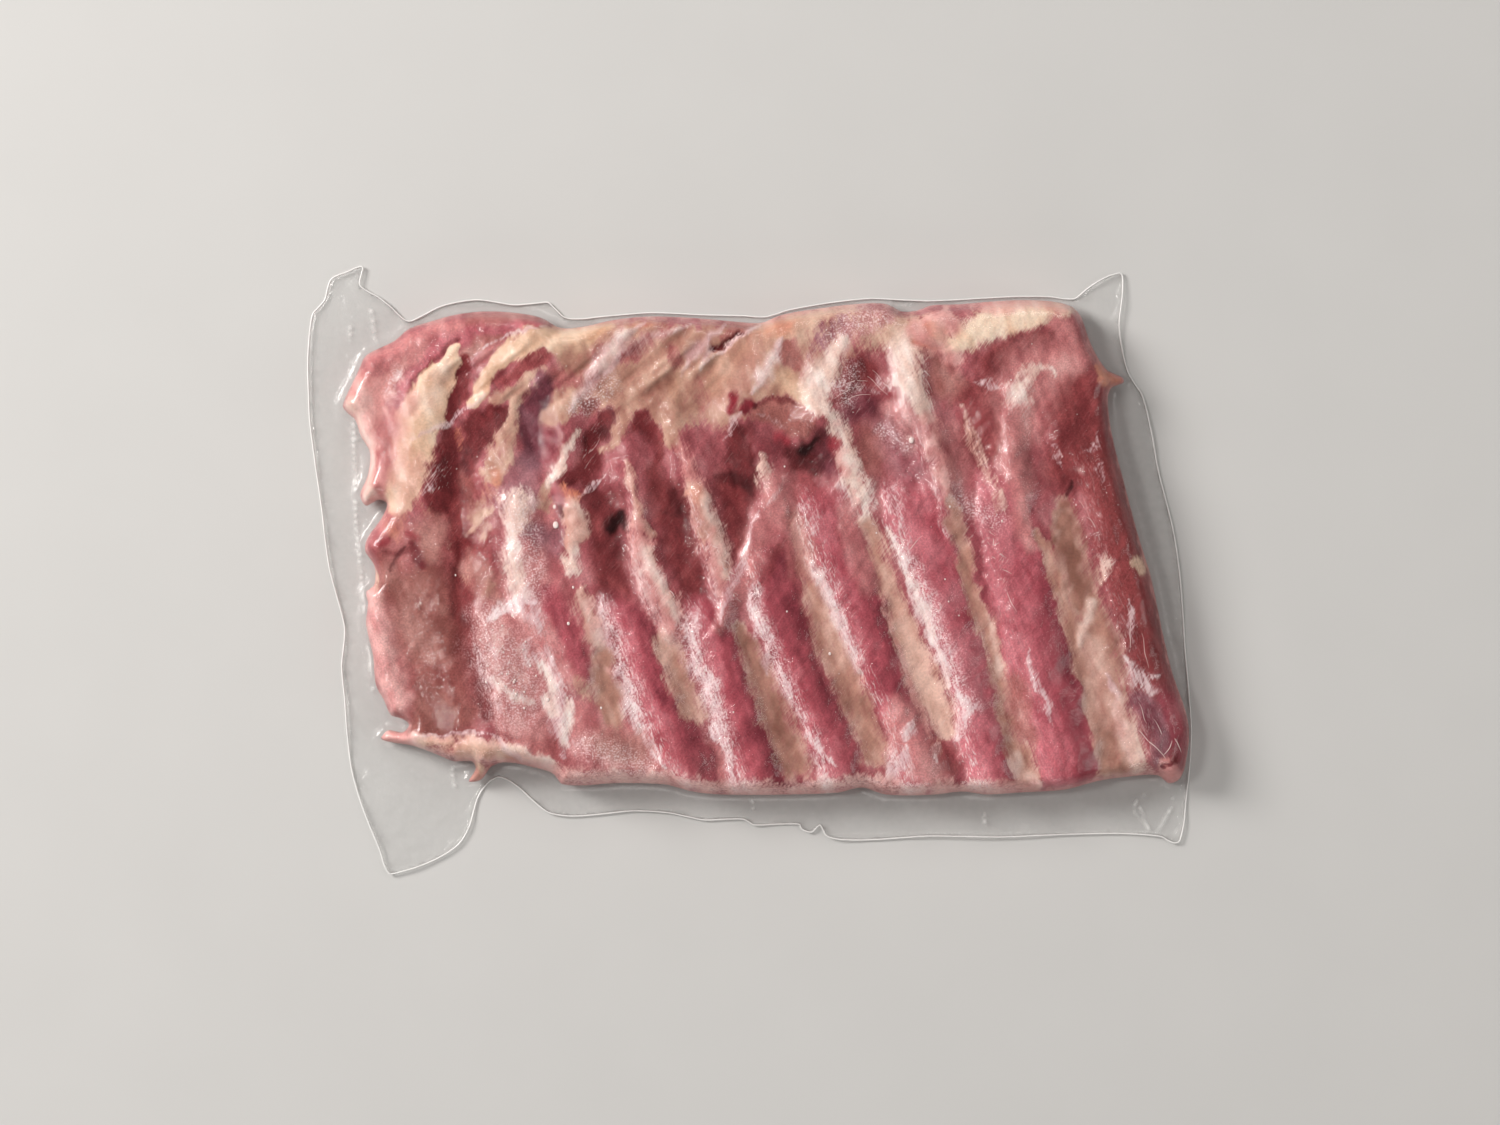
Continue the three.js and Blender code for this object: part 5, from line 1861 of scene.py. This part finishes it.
    def build(self) -> bpy.types.Object:
        """Make the slab, dress it and let it stand for the solid.

        Returns:
            The slab.
        """
        lattice = self.lattice
        self.shape()
        inner, under = lattice.under(lattice.slab_loop)
        depth = lattice.solid.slab.depth(inner)
        bottom = self.floor_gap + self.under_roll * (1.0 - shoulder(depth, self.roll))
        piece, used = close_piece(
            "rib_rack", np.column_stack([lattice.points, self.top]), lattice.triangles[lattice.on_slab],
            np.column_stack([inner, bottom]), under)
        above = self.paint(lattice.points, lattice.depth, ALL_MARKS)
        below = self.paint(inner, depth, ())
        for name, values in above.items():
            add_values(piece, name, np.concatenate([values, below[name]])[used])
        piece.data.materials.append(RawPork().make())
        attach(piece, BODY)
        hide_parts(NODE)
        return piece


@dataclass
class Pouch:
    """The clear pouch: a top sheet drawn down on the slab, a flat bottom sheet and a sealed margin.

    Attributes:
        lattice: The shared places.
        slab_top: Height of the slab's top at each place.
        cling: Gap between film and meat, in millimetres.
        tent: Distance in which the top sheet comes down beside the slab.
        floor_gap: Height of the bottom sheet under the slab.
        drape_rounds: How often the film's top is evened out, so that it bridges small dents.
        wave: Greatest lift of the free margin.
        wave_span: Distances from the slab where that lift starts and where it is full.
        sheet_gap: Gap between the two sheets of the margin.
        fold: Height of the faint folds.
        slack: How much of its gloss the film loses over the dark hollows.
        milk: How milky it is on the meat, in the margin, on a fold there and underneath.
        ripple: How the margin's lift varies.
        edge_path: Places along its edge, once it is built.
    """

    lattice: PackLattice
    slab_top: Array
    cling: float = 0.25
    tent: float = 1.4
    floor_gap: float = 0.1
    drape_rounds: int = 9
    wave: float = 1.6
    wave_span: tuple[float, float] = (2.0, 22.0)
    sheet_gap: float = 0.2
    fold: float = 0.35
    slack: float = 0.92
    milk: tuple[float, float, float, float] = (0.002, 0.10, 0.5, 0.04)
    ripple: Noise = Noise(0.5, 26.0, 31, layers=2)
    edge_path: Array = field(init=False)

    def lift(self, points: Array) -> Array:
        """Give the height of the wavy margin at places in millimetres."""
        outside = -self.lattice.solid.slab.depth(points)
        return self.floor_gap + self.wave * (0.5 + self.ripple.at(points)) * smooth(*self.wave_span, outside)

    def taut(self, points: Array) -> Array:
        """Say how tightly the film lies: 1 on the meat, near 0 over the dark hollows, where it is slack.

        Args:
            points: Places in millimetres.

        Returns:
            One value for each place.
        """
        hollows = [mark.reach(points) for mark in ALL_MARKS
                   if mark.tissue in (CLOT, DARK_LEAN) and mark.rise < 0.0]
        return 1.0 - self.slack * smooth(2.0, 1.0, np.min(hollows, axis=0))

    def build(self) -> bpy.types.Object:
        """Make the film and dress it.

        Returns:
            The film.
        """
        lattice = self.lattice
        points = lattice.points
        outside = np.maximum(-lattice.depth, 0.0)
        drawn = np.maximum(self.slab_top, lattice.spread(self.slab_top, self.drape_rounds)) + self.cling
        drawn[lattice.slab_loop] = self.slab_top[lattice.slab_loop] + self.cling
        folds = smooth(1.0, 0.0, nearest(FASCIA, FILM_CREASES, points))
        margin = self.lift(points) + self.sheet_gap + self.fold * folds
        tented = margin + (drawn[lattice.near] - margin) * np.exp(-outside / self.tent)
        top = np.where(lattice.depth >= 0.0, drawn, tented)
        top[lattice.pouch_loop] = self.lift(points[lattice.pouch_loop]) + 0.5 * self.sheet_gap
        inner, under = lattice.under(lattice.pouch_loop)
        piece, used = close_piece(
            "pouch_film", np.column_stack([points, top]), lattice.triangles,
            np.column_stack([inner, self.lift(inner)]), under)
        on_meat, in_margin, on_fold, underneath = self.milk
        milk = on_meat + in_margin * smooth(0.0, 4.0, outside) + on_fold * folds * smooth(0.0, 3.0, outside)
        add_values(piece, "milk", np.concatenate([milk, np.full(len(inner), underneath)])[used])
        add_values(piece, "taut", np.concatenate([self.taut(points), np.ones(len(inner))])[used])
        piece.data.materials.append(ClearFilm().make())
        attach(piece, BODY)
        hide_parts(NODE)
        self.edge_path = np.column_stack([points[lattice.pouch_loop], top[lattice.pouch_loop]])
        return piece


def new_tree(name: str, sizes: tuple[str, ...] = ()) -> tuple[bpy.types.NodeTree, dict[str, str]]:
    """Make a geometry node tree with a geometry input and output and named sizes.

    Args:
        name: Name of the tree.
        sizes: Names of its number inputs.

    Returns:
        The tree, and the identifier of each number input by name.
    """
    tree = bpy.data.node_groups.new(name, "GeometryNodeTree")
    tree.interface.new_socket("Geometry", in_out="INPUT", socket_type="NodeSocketGeometry")
    keys = {size: tree.interface.new_socket(size, in_out="INPUT", socket_type="NodeSocketFloat").identifier
            for size in sizes}
    tree.interface.new_socket("Geometry", in_out="OUTPUT", socket_type="NodeSocketGeometry")
    return tree, keys


def finish_tree(name: str, holder: bpy.types.Object, tree: bpy.types.NodeTree,
                values: dict[str, float]) -> bpy.types.Object:
    """Run a geometry node tree on an object and keep its result as a plain mesh piece.

    Args:
        name: Name of the piece.
        holder: Object that carries the tree's input; it is removed.
        tree: The tree.
        values: Input socket identifier to value.

    Returns:
        The finished piece.
    """
    modifier = holder.modifiers.new(name, "NODES")
    modifier.node_group = tree
    for key, value in values.items():
        modifier[key] = value
    evaluated = holder.evaluated_get(bpy.context.evaluated_depsgraph_get())
    mesh = bpy.data.meshes.new_from_object(evaluated)
    mesh.name = name
    holder.modifiers.remove(modifier)
    bpy.data.objects.remove(holder)
    return place_object(name, mesh)


class SweptLine:
    """A geometry node tree that sweeps an oval section along curves."""

    def __init__(self, name: str, material: bpy.types.Material, sides: int = 6) -> None:
        """Build the tree.

        Args:
            name: Name of the tree.
            material: Finish of the swept lines.
            sides: Sides of the section.
        """
        self.tree, self.keys = new_tree(name, ("Radius", "Flatness"))
        add = partial(add_node, self.tree)
        given = add("NodeGroupInput").outputs
        section = add("GeometryNodeCurvePrimitiveCircle", {"Resolution": sides, "Radius": given["Radius"]})
        squash = add("ShaderNodeCombineXYZ", (1.0, given["Flatness"], 1.0))
        oval = add("GeometryNodeTransform", {"Geometry": section, "Scale": squash})
        upright = add("GeometryNodeSetCurveNormal", {"Curve": given["Geometry"]}, mode="Z_UP")
        swept = add("GeometryNodeCurveToMesh", {"Curve": upright, "Profile Curve": oval, "Fill Caps": True,
                                                "Scale": add("GeometryNodeInputRadius")})
        rounded = add("GeometryNodeSetShadeSmooth", {"Geometry": swept})
        real = add("GeometryNodeRealizeInstances", {"Geometry": rounded})
        dressed = add("GeometryNodeSetMaterial", {"Geometry": real, "Material": material})
        add("NodeGroupOutput", (dressed,))

    def sweep(self, name: str, paths: list[Array], radius: float, flatness: float,
              closed: bool) -> bpy.types.Object:
        """Sweep paths into one mesh piece.

        Args:
            name: Name of the piece.
            paths: Rows of x, y, z and relative thickness, in millimetres.
            radius: Radius of the section where the thickness is 1, in millimetres.
            flatness: Height of the section as a share of its width.
            closed: Whether each path is a loop.

        Returns:
            The finished piece.
        """
        curve = bpy.data.curves.new(name + "_path", "CURVE")
        curve.dimensions = "3D"
        for path in paths:
            spline = curve.splines.new("POLY")
            spline.points.add(len(path) - 1)
            spline.use_cyclic_u = closed
            spline.points.foreach_set("co", np.column_stack([path[:, :3] * MM, np.ones(len(path))]).ravel())
            spline.points.foreach_set("radius", path[:, 3].copy())
        holder = place_object(name + "_path", curve)
        sizes = {self.keys["Radius"]: radius * MM, self.keys["Flatness"]: flatness}
        return finish_tree(name, holder, self.tree, sizes)


@dataclass
class SinewStrands:
    """Loose white strands of sinew that lie on the slab under the film.

    Attributes:
        lattice: The shared places.
        slab_top: Height of the slab's top at each place.
        fringe_step: Spacing of the threads along a frayed sheath, in pixels of the photograph.
        fringe_turn: How far a thread turns off its sheath to the right, in radians, and its spread.
        fringe_bend: Spread of a thread's bend, in radians.
        fringe_shift: Spread of its start to the side, in pixels.
        fringe_length: Least and greatest share of the sheath's thread length.
        fringe_width: Least and greatest half width, in pixels.
        seed: Picks their places.
        half_width: Half width of a strand whose pixel width is 1, in millimetres.
        flatness: Height of a strand as a share of its width.
        step: Spacing of points along a strand.
        wiggle: How far a strand wavers to either side.
        wiggle_mm: Distance in which its wavers along X and Y turn by one radian.
        end, taper: Where on a half turn a strand starts and ends, and how bluntly it tapers.
    """

    lattice: PackLattice
    slab_top: Array
    fringe_step: float = 5.0
    fringe_turn: tuple[float, float] = (0.4, 0.35)
    fringe_bend: float = 0.4
    fringe_shift: float = 2.5
    fringe_length: tuple[float, float] = (0.5, 1.2)
    fringe_width: tuple[float, float] = (0.25, 0.6)
    seed: int = 43
    half_width: float = 0.35
    flatness: float = 0.5
    step: float = 1.2
    wiggle: float = 0.3
    wiggle_mm: tuple[float, float] = (2.3, 1.7)
    end: float = 0.15
    taper: float = 0.6

    def fringe(self) -> list[Path]:
        """Fray the sheaths into short curved threads.

        Returns:
            Rows like those of the loose strands.
        """
        rng = np.random.default_rng(self.seed)
        threads = []
        for path in FRINGES:
            rows = np.array(path)
            steps = np.diff(rows[:, :2], axis=0)
            run = run_along(rows[:, :2])
            for at in rng.uniform(0.0, run[-1], int(run[-1] / self.fringe_step)):
                ahead = steps[min(np.searchsorted(run, at, "right"), len(steps)) - 1]
                x, y, length = (np.interp(at, run, rows[:, k]) for k in range(3))
                turn = math.atan2(ahead[1], ahead[0]) - rng.normal(*self.fringe_turn)
                half = 0.5 * length * rng.uniform(*self.fringe_length)
                bend = turn + rng.normal(0.0, self.fringe_bend)
                x = x + rng.normal(0.0, self.fringe_shift)
                middle = (x + half * math.cos(turn), y + half * math.sin(turn))
                tip = (middle[0] + half * math.cos(bend), middle[1] + half * math.sin(bend))
                thick = rng.uniform(*self.fringe_width)
                threads.append(((x, y, thick), (*middle, thick), (*tip, 0.5 * thick)))
        return threads

    def build(self) -> bpy.types.Object:
        """Sweep the strands along the slab's top.

        Returns:
            The strands.
        """
        on_slab = self.lattice.depth > 0.0
        ground = self.lattice.points[on_slab]
        height = self.slab_top[on_slab]
        paths = []
        for strand in (*STRANDS, *self.fringe()):
            rows = from_photo(strand)
            rows[:, 2] /= MM_PER_PX
            run = run_along(rows[:, :2])
            stops = np.linspace(0.0, run[-1], int(run[-1] / self.step) + 2)
            x, y, width = (np.interp(stops, run, rows[:, k]) for k in range(3))
            waver = [self.wiggle * np.sin(stops / length) for length in self.wiggle_mm]
            here = np.column_stack([x + waver[0], y + waver[1]])
            near = [np.argmin(np.sum((ground - p) ** 2, axis=1)) for p in here]
            taper = np.sin(np.linspace(self.end, math.pi - self.end, len(stops))) ** self.taper
            paths.append(np.column_stack([here, height[near], width * taper]))
        tree = SweptLine("sinew_sweep", SINEW.make())
        piece = tree.sweep("sinew_strands", paths, self.half_width, self.flatness, False)
        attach(piece, BODY)
        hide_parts(NODE)
        return piece


@dataclass
class FilmEdge:
    """The pouch's cut edge, where both layers are fused and catch the light.

    Attributes:
        path: Places along the edge.
        radius: Half width of the fused bead, in millimetres.
        flatness: Height of the bead as a share of its width.
        lift: How far the bead's middle lies above the edge.
    """

    path: Array
    radius: float = 0.38
    flatness: float = 0.6
    lift: float = 0.1

    def build(self) -> bpy.types.Object:
        """Sweep the bead along the edge.

        Returns:
            The bead.
        """
        tree = SweptLine("edge_sweep", CUT_EDGE_SHINE.make())
        rows = np.column_stack([self.path + (0.0, 0.0, self.lift), np.ones(len(self.path))])
        piece = tree.sweep("film_edge", [rows], self.radius, self.flatness, True)
        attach(piece, BODY)
        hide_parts(NODE)
        return piece


@dataclass
class AirBeads:
    """Small beads of air and juice caught between the film and the slab.

    Attributes:
        lattice: The shared places.
        slab_top: Height of the slab's top at each place.
        count: How many.
        radii: Smallest and largest radius, in millimetres.
        rim: Least depth of a bead inside the slab.
        strays: Weight of the places outside the fields.
        single_size: Size of the single beads as a share of what the photograph shows.
        lift: How far a bead's middle lies above the meat.
        seed: Picks their places.
        squash: Width, length and height of a bead as shares of its radius.
        fields: Where they gather, in pixels of the photograph, with half widths.
    """

    lattice: PackLattice
    slab_top: Array
    count: int = 130
    radii: tuple[float, float] = (0.2, 0.8)
    rim: float = 6.0
    strays: float = 0.012
    single_size: float = 0.75
    lift: float = 0.1
    seed: int = 41
    squash: tuple[float, float, float] = (1.0, 1.3, 0.16)
    fields: tuple[Path, ...] = (
        ((490, 610, 22), (505, 660, 30), (520, 710, 24)),
        ((540, 650, 12), (548, 690, 12)),
        ((690, 640, 10), (715, 720, 10)),
        ((770, 640, 8), (800, 720, 8)),
    )

    def build(self) -> bpy.types.Object:
        """Set beads on the slab by a node tree.

        Returns:
            The beads.
        """
        rng = np.random.default_rng(self.seed)
        points = self.lattice.points
        gathered = self.strays + smooth(1.4, 0.4, nearest(FASCIA, self.fields, points))
        weight = np.where(self.lattice.depth > self.rim, gathered, 0.0)
        chosen = rng.choice(len(points), self.count, replace=False, p=weight / weight.sum())
        size = self.radii[0] + (self.radii[1] - self.radii[0]) * rng.random(self.count) ** 3
        single = np.array(SINGLE_BEADS)
        near = [np.argmin(np.linalg.norm(points - place, axis=1)) for place in from_photo(single[:, :2])]
        chosen = np.concatenate([chosen, near])
        size = np.concatenate([size, self.single_size * single[:, 2] * MM_PER_PX])
        seats = np.column_stack([points[chosen], self.slab_top[chosen] + self.lift])
        mesh = bpy.data.meshes.new("bead_seats")
        mesh.from_pydata((seats * MM).tolist(), [], [])
        layer = mesh.attributes.new("bead_size", "FLOAT", "POINT")
        layer.data.foreach_set("value", (size * MM).astype(np.float32))
        piece = finish_tree("air_beads", place_object("bead_seats", mesh), self.tree(), {})
        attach(piece, BODY)
        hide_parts(NODE)
        return piece

    def tree(self) -> bpy.types.NodeTree:
        """Build the tree that sets a flat round bead on each point."""
        tree, _ = new_tree("bead_scatter")
        add = partial(add_node, tree)
        given = add("NodeGroupInput")
        ball = add("GeometryNodeMeshUVSphere", {"Segments": 8, "Rings": 5, "Radius": 1.0})
        low = add("GeometryNodeTransform", {"Geometry": ball, "Scale": self.squash})
        rounded = add("GeometryNodeSetShadeSmooth", {"Geometry": low})
        size = add("GeometryNodeInputNamedAttribute", {"Name": "bead_size"}, data_type="FLOAT")
        beads = add("GeometryNodeInstanceOnPoints", {"Points": given, "Instance": rounded, "Scale": size})
        real = add("GeometryNodeRealizeInstances", {"Geometry": beads})
        dressed = add("GeometryNodeSetMaterial", {"Geometry": real, "Material": BEAD_GLINT.make()})
        add("NodeGroupOutput", (dressed,))
        return tree


@dataclass(frozen=True)
class SoftLight:
    """A square soft light that faces the pack.

    Attributes:
        name: Name of the light.
        place: Where it hangs, in metres.
        size: Side of its face, in metres.
        power: Watts.
    """

    name: str
    place: tuple[float, float, float]
    size: float
    power: float

    def hang(self, tint: tuple[float, float, float]) -> None:
        """Hang the light.

        Args:
            tint: Colour of its light.
        """
        data = bpy.data.lights.new(self.name, "AREA")
        data.size = self.size
        data.energy = self.power
        data.color = tint
        light = place_object(self.name, data)
        light.location = self.place
        light.rotation_euler = (-Vector(self.place)).to_track_quat("-Z", "Y").to_euler()


@dataclass
class Studio:
    """A pale floor, soft lights and a camera that looks straight down.

    Attributes:
        distance: Height of the camera above the table, in metres.
        sensor: Width of the camera's sensor, in millimetres.
        floor_drop: How far the floor lies under the film, in metres.
        floor_reach: Half side of the floor, in metres.
        ambient: Strength of the light from all round.
        tint: Colour of all light, a little warm.
        lights: The soft lights.
    """

    distance: float = 2.5
    sensor: float = 36.0
    floor_drop: float = 0.0004
    floor_reach: float = 4.0
    ambient: float = 0.12
    tint: tuple[float, float, float] = (1.0, 0.962, 0.935)
    lights: tuple[SoftLight, ...] = (
        SoftLight("key_softbox", (-2.35, 1.25, 1.6), 1.1, 106.0),
        SoftLight("sheen_softbox", (-1.5, 0.35, 2.6), 0.45, 17.5),
        SoftLight("fill_softbox", (1.6, -0.3, 1.0), 0.9, 7.0),
        SoftLight("front_softbox", (-0.3, -2.2, 0.8), 1.0, 10.0),
        SoftLight("back_softbox", (0.4, 2.4, 2.0), 1.2, 16.0),
    )

    def build(self) -> None:
        """Make the floor, lights and camera."""
        self.floor()
        for light in self.lights:
            light.hang(self.tint)
        world = bpy.data.worlds.new("studio")
        world.use_nodes = True
        backdrop = world.node_tree.nodes["Background"]
        backdrop.inputs["Color"].default_value = (*self.tint, 1.0)
        backdrop.inputs["Strength"].default_value = self.ambient
        bpy.context.scene.world = world
        bpy.context.scene.view_settings.view_transform = "Standard"
        self.camera()

    def floor(self) -> None:
        """Lay the floor just under the film."""
        mesh = bpy.data.meshes.new("studio_floor")
        reach = self.floor_reach
        corners = [(x, y, -self.floor_drop) for x, y in ((-reach, -reach), (reach, -reach), (reach, reach),
                                                         (-reach, reach))]
        mesh.from_pydata(corners, [], [(0, 1, 2, 3)])
        mesh.materials.append(FLOOR.make())
        floor = place_object("studio_floor", mesh)

    def camera(self) -> None:
        """Hang the camera over the photograph's middle pixel, framing its width."""
        width = PHOTO_SIZE_PX[0] * MM_PER_PX * MM
        middle = from_photo([(PHOTO_SIZE_PX[0] / 2, PHOTO_SIZE_PX[1] / 2)])[0] * MM
        data = bpy.data.cameras.new("camera")
        data.sensor_width = self.sensor
        data.lens = self.sensor * self.distance / width
        camera = place_object("camera", data)
        camera.location = (middle[0], middle[1], self.distance)
        bpy.context.scene.camera = camera


def report(piece: bpy.types.Object) -> None:
    """Log a finished piece and its size."""
    LOG.info("%s: %d faces", piece.name, len(piece.data.polygons))


def main() -> None:
    """Build the studio and every piece of the pack, and log each piece's faces."""
    logging.basicConfig(level=logging.INFO, format="%(name)s: %(message)s")
    Studio().build()
    lattice = PackLattice(PackSolid())
    rack = RibRack(lattice)
    report(rack.build())
    pouch = Pouch(lattice, rack.top)
    report(pouch.build())
    report(SinewStrands(lattice, rack.top).build())
    report(AirBeads(lattice, rack.top).build())
    report(FilmEdge(pouch.edge_path).build())


if __name__ == "__main__":
    main()
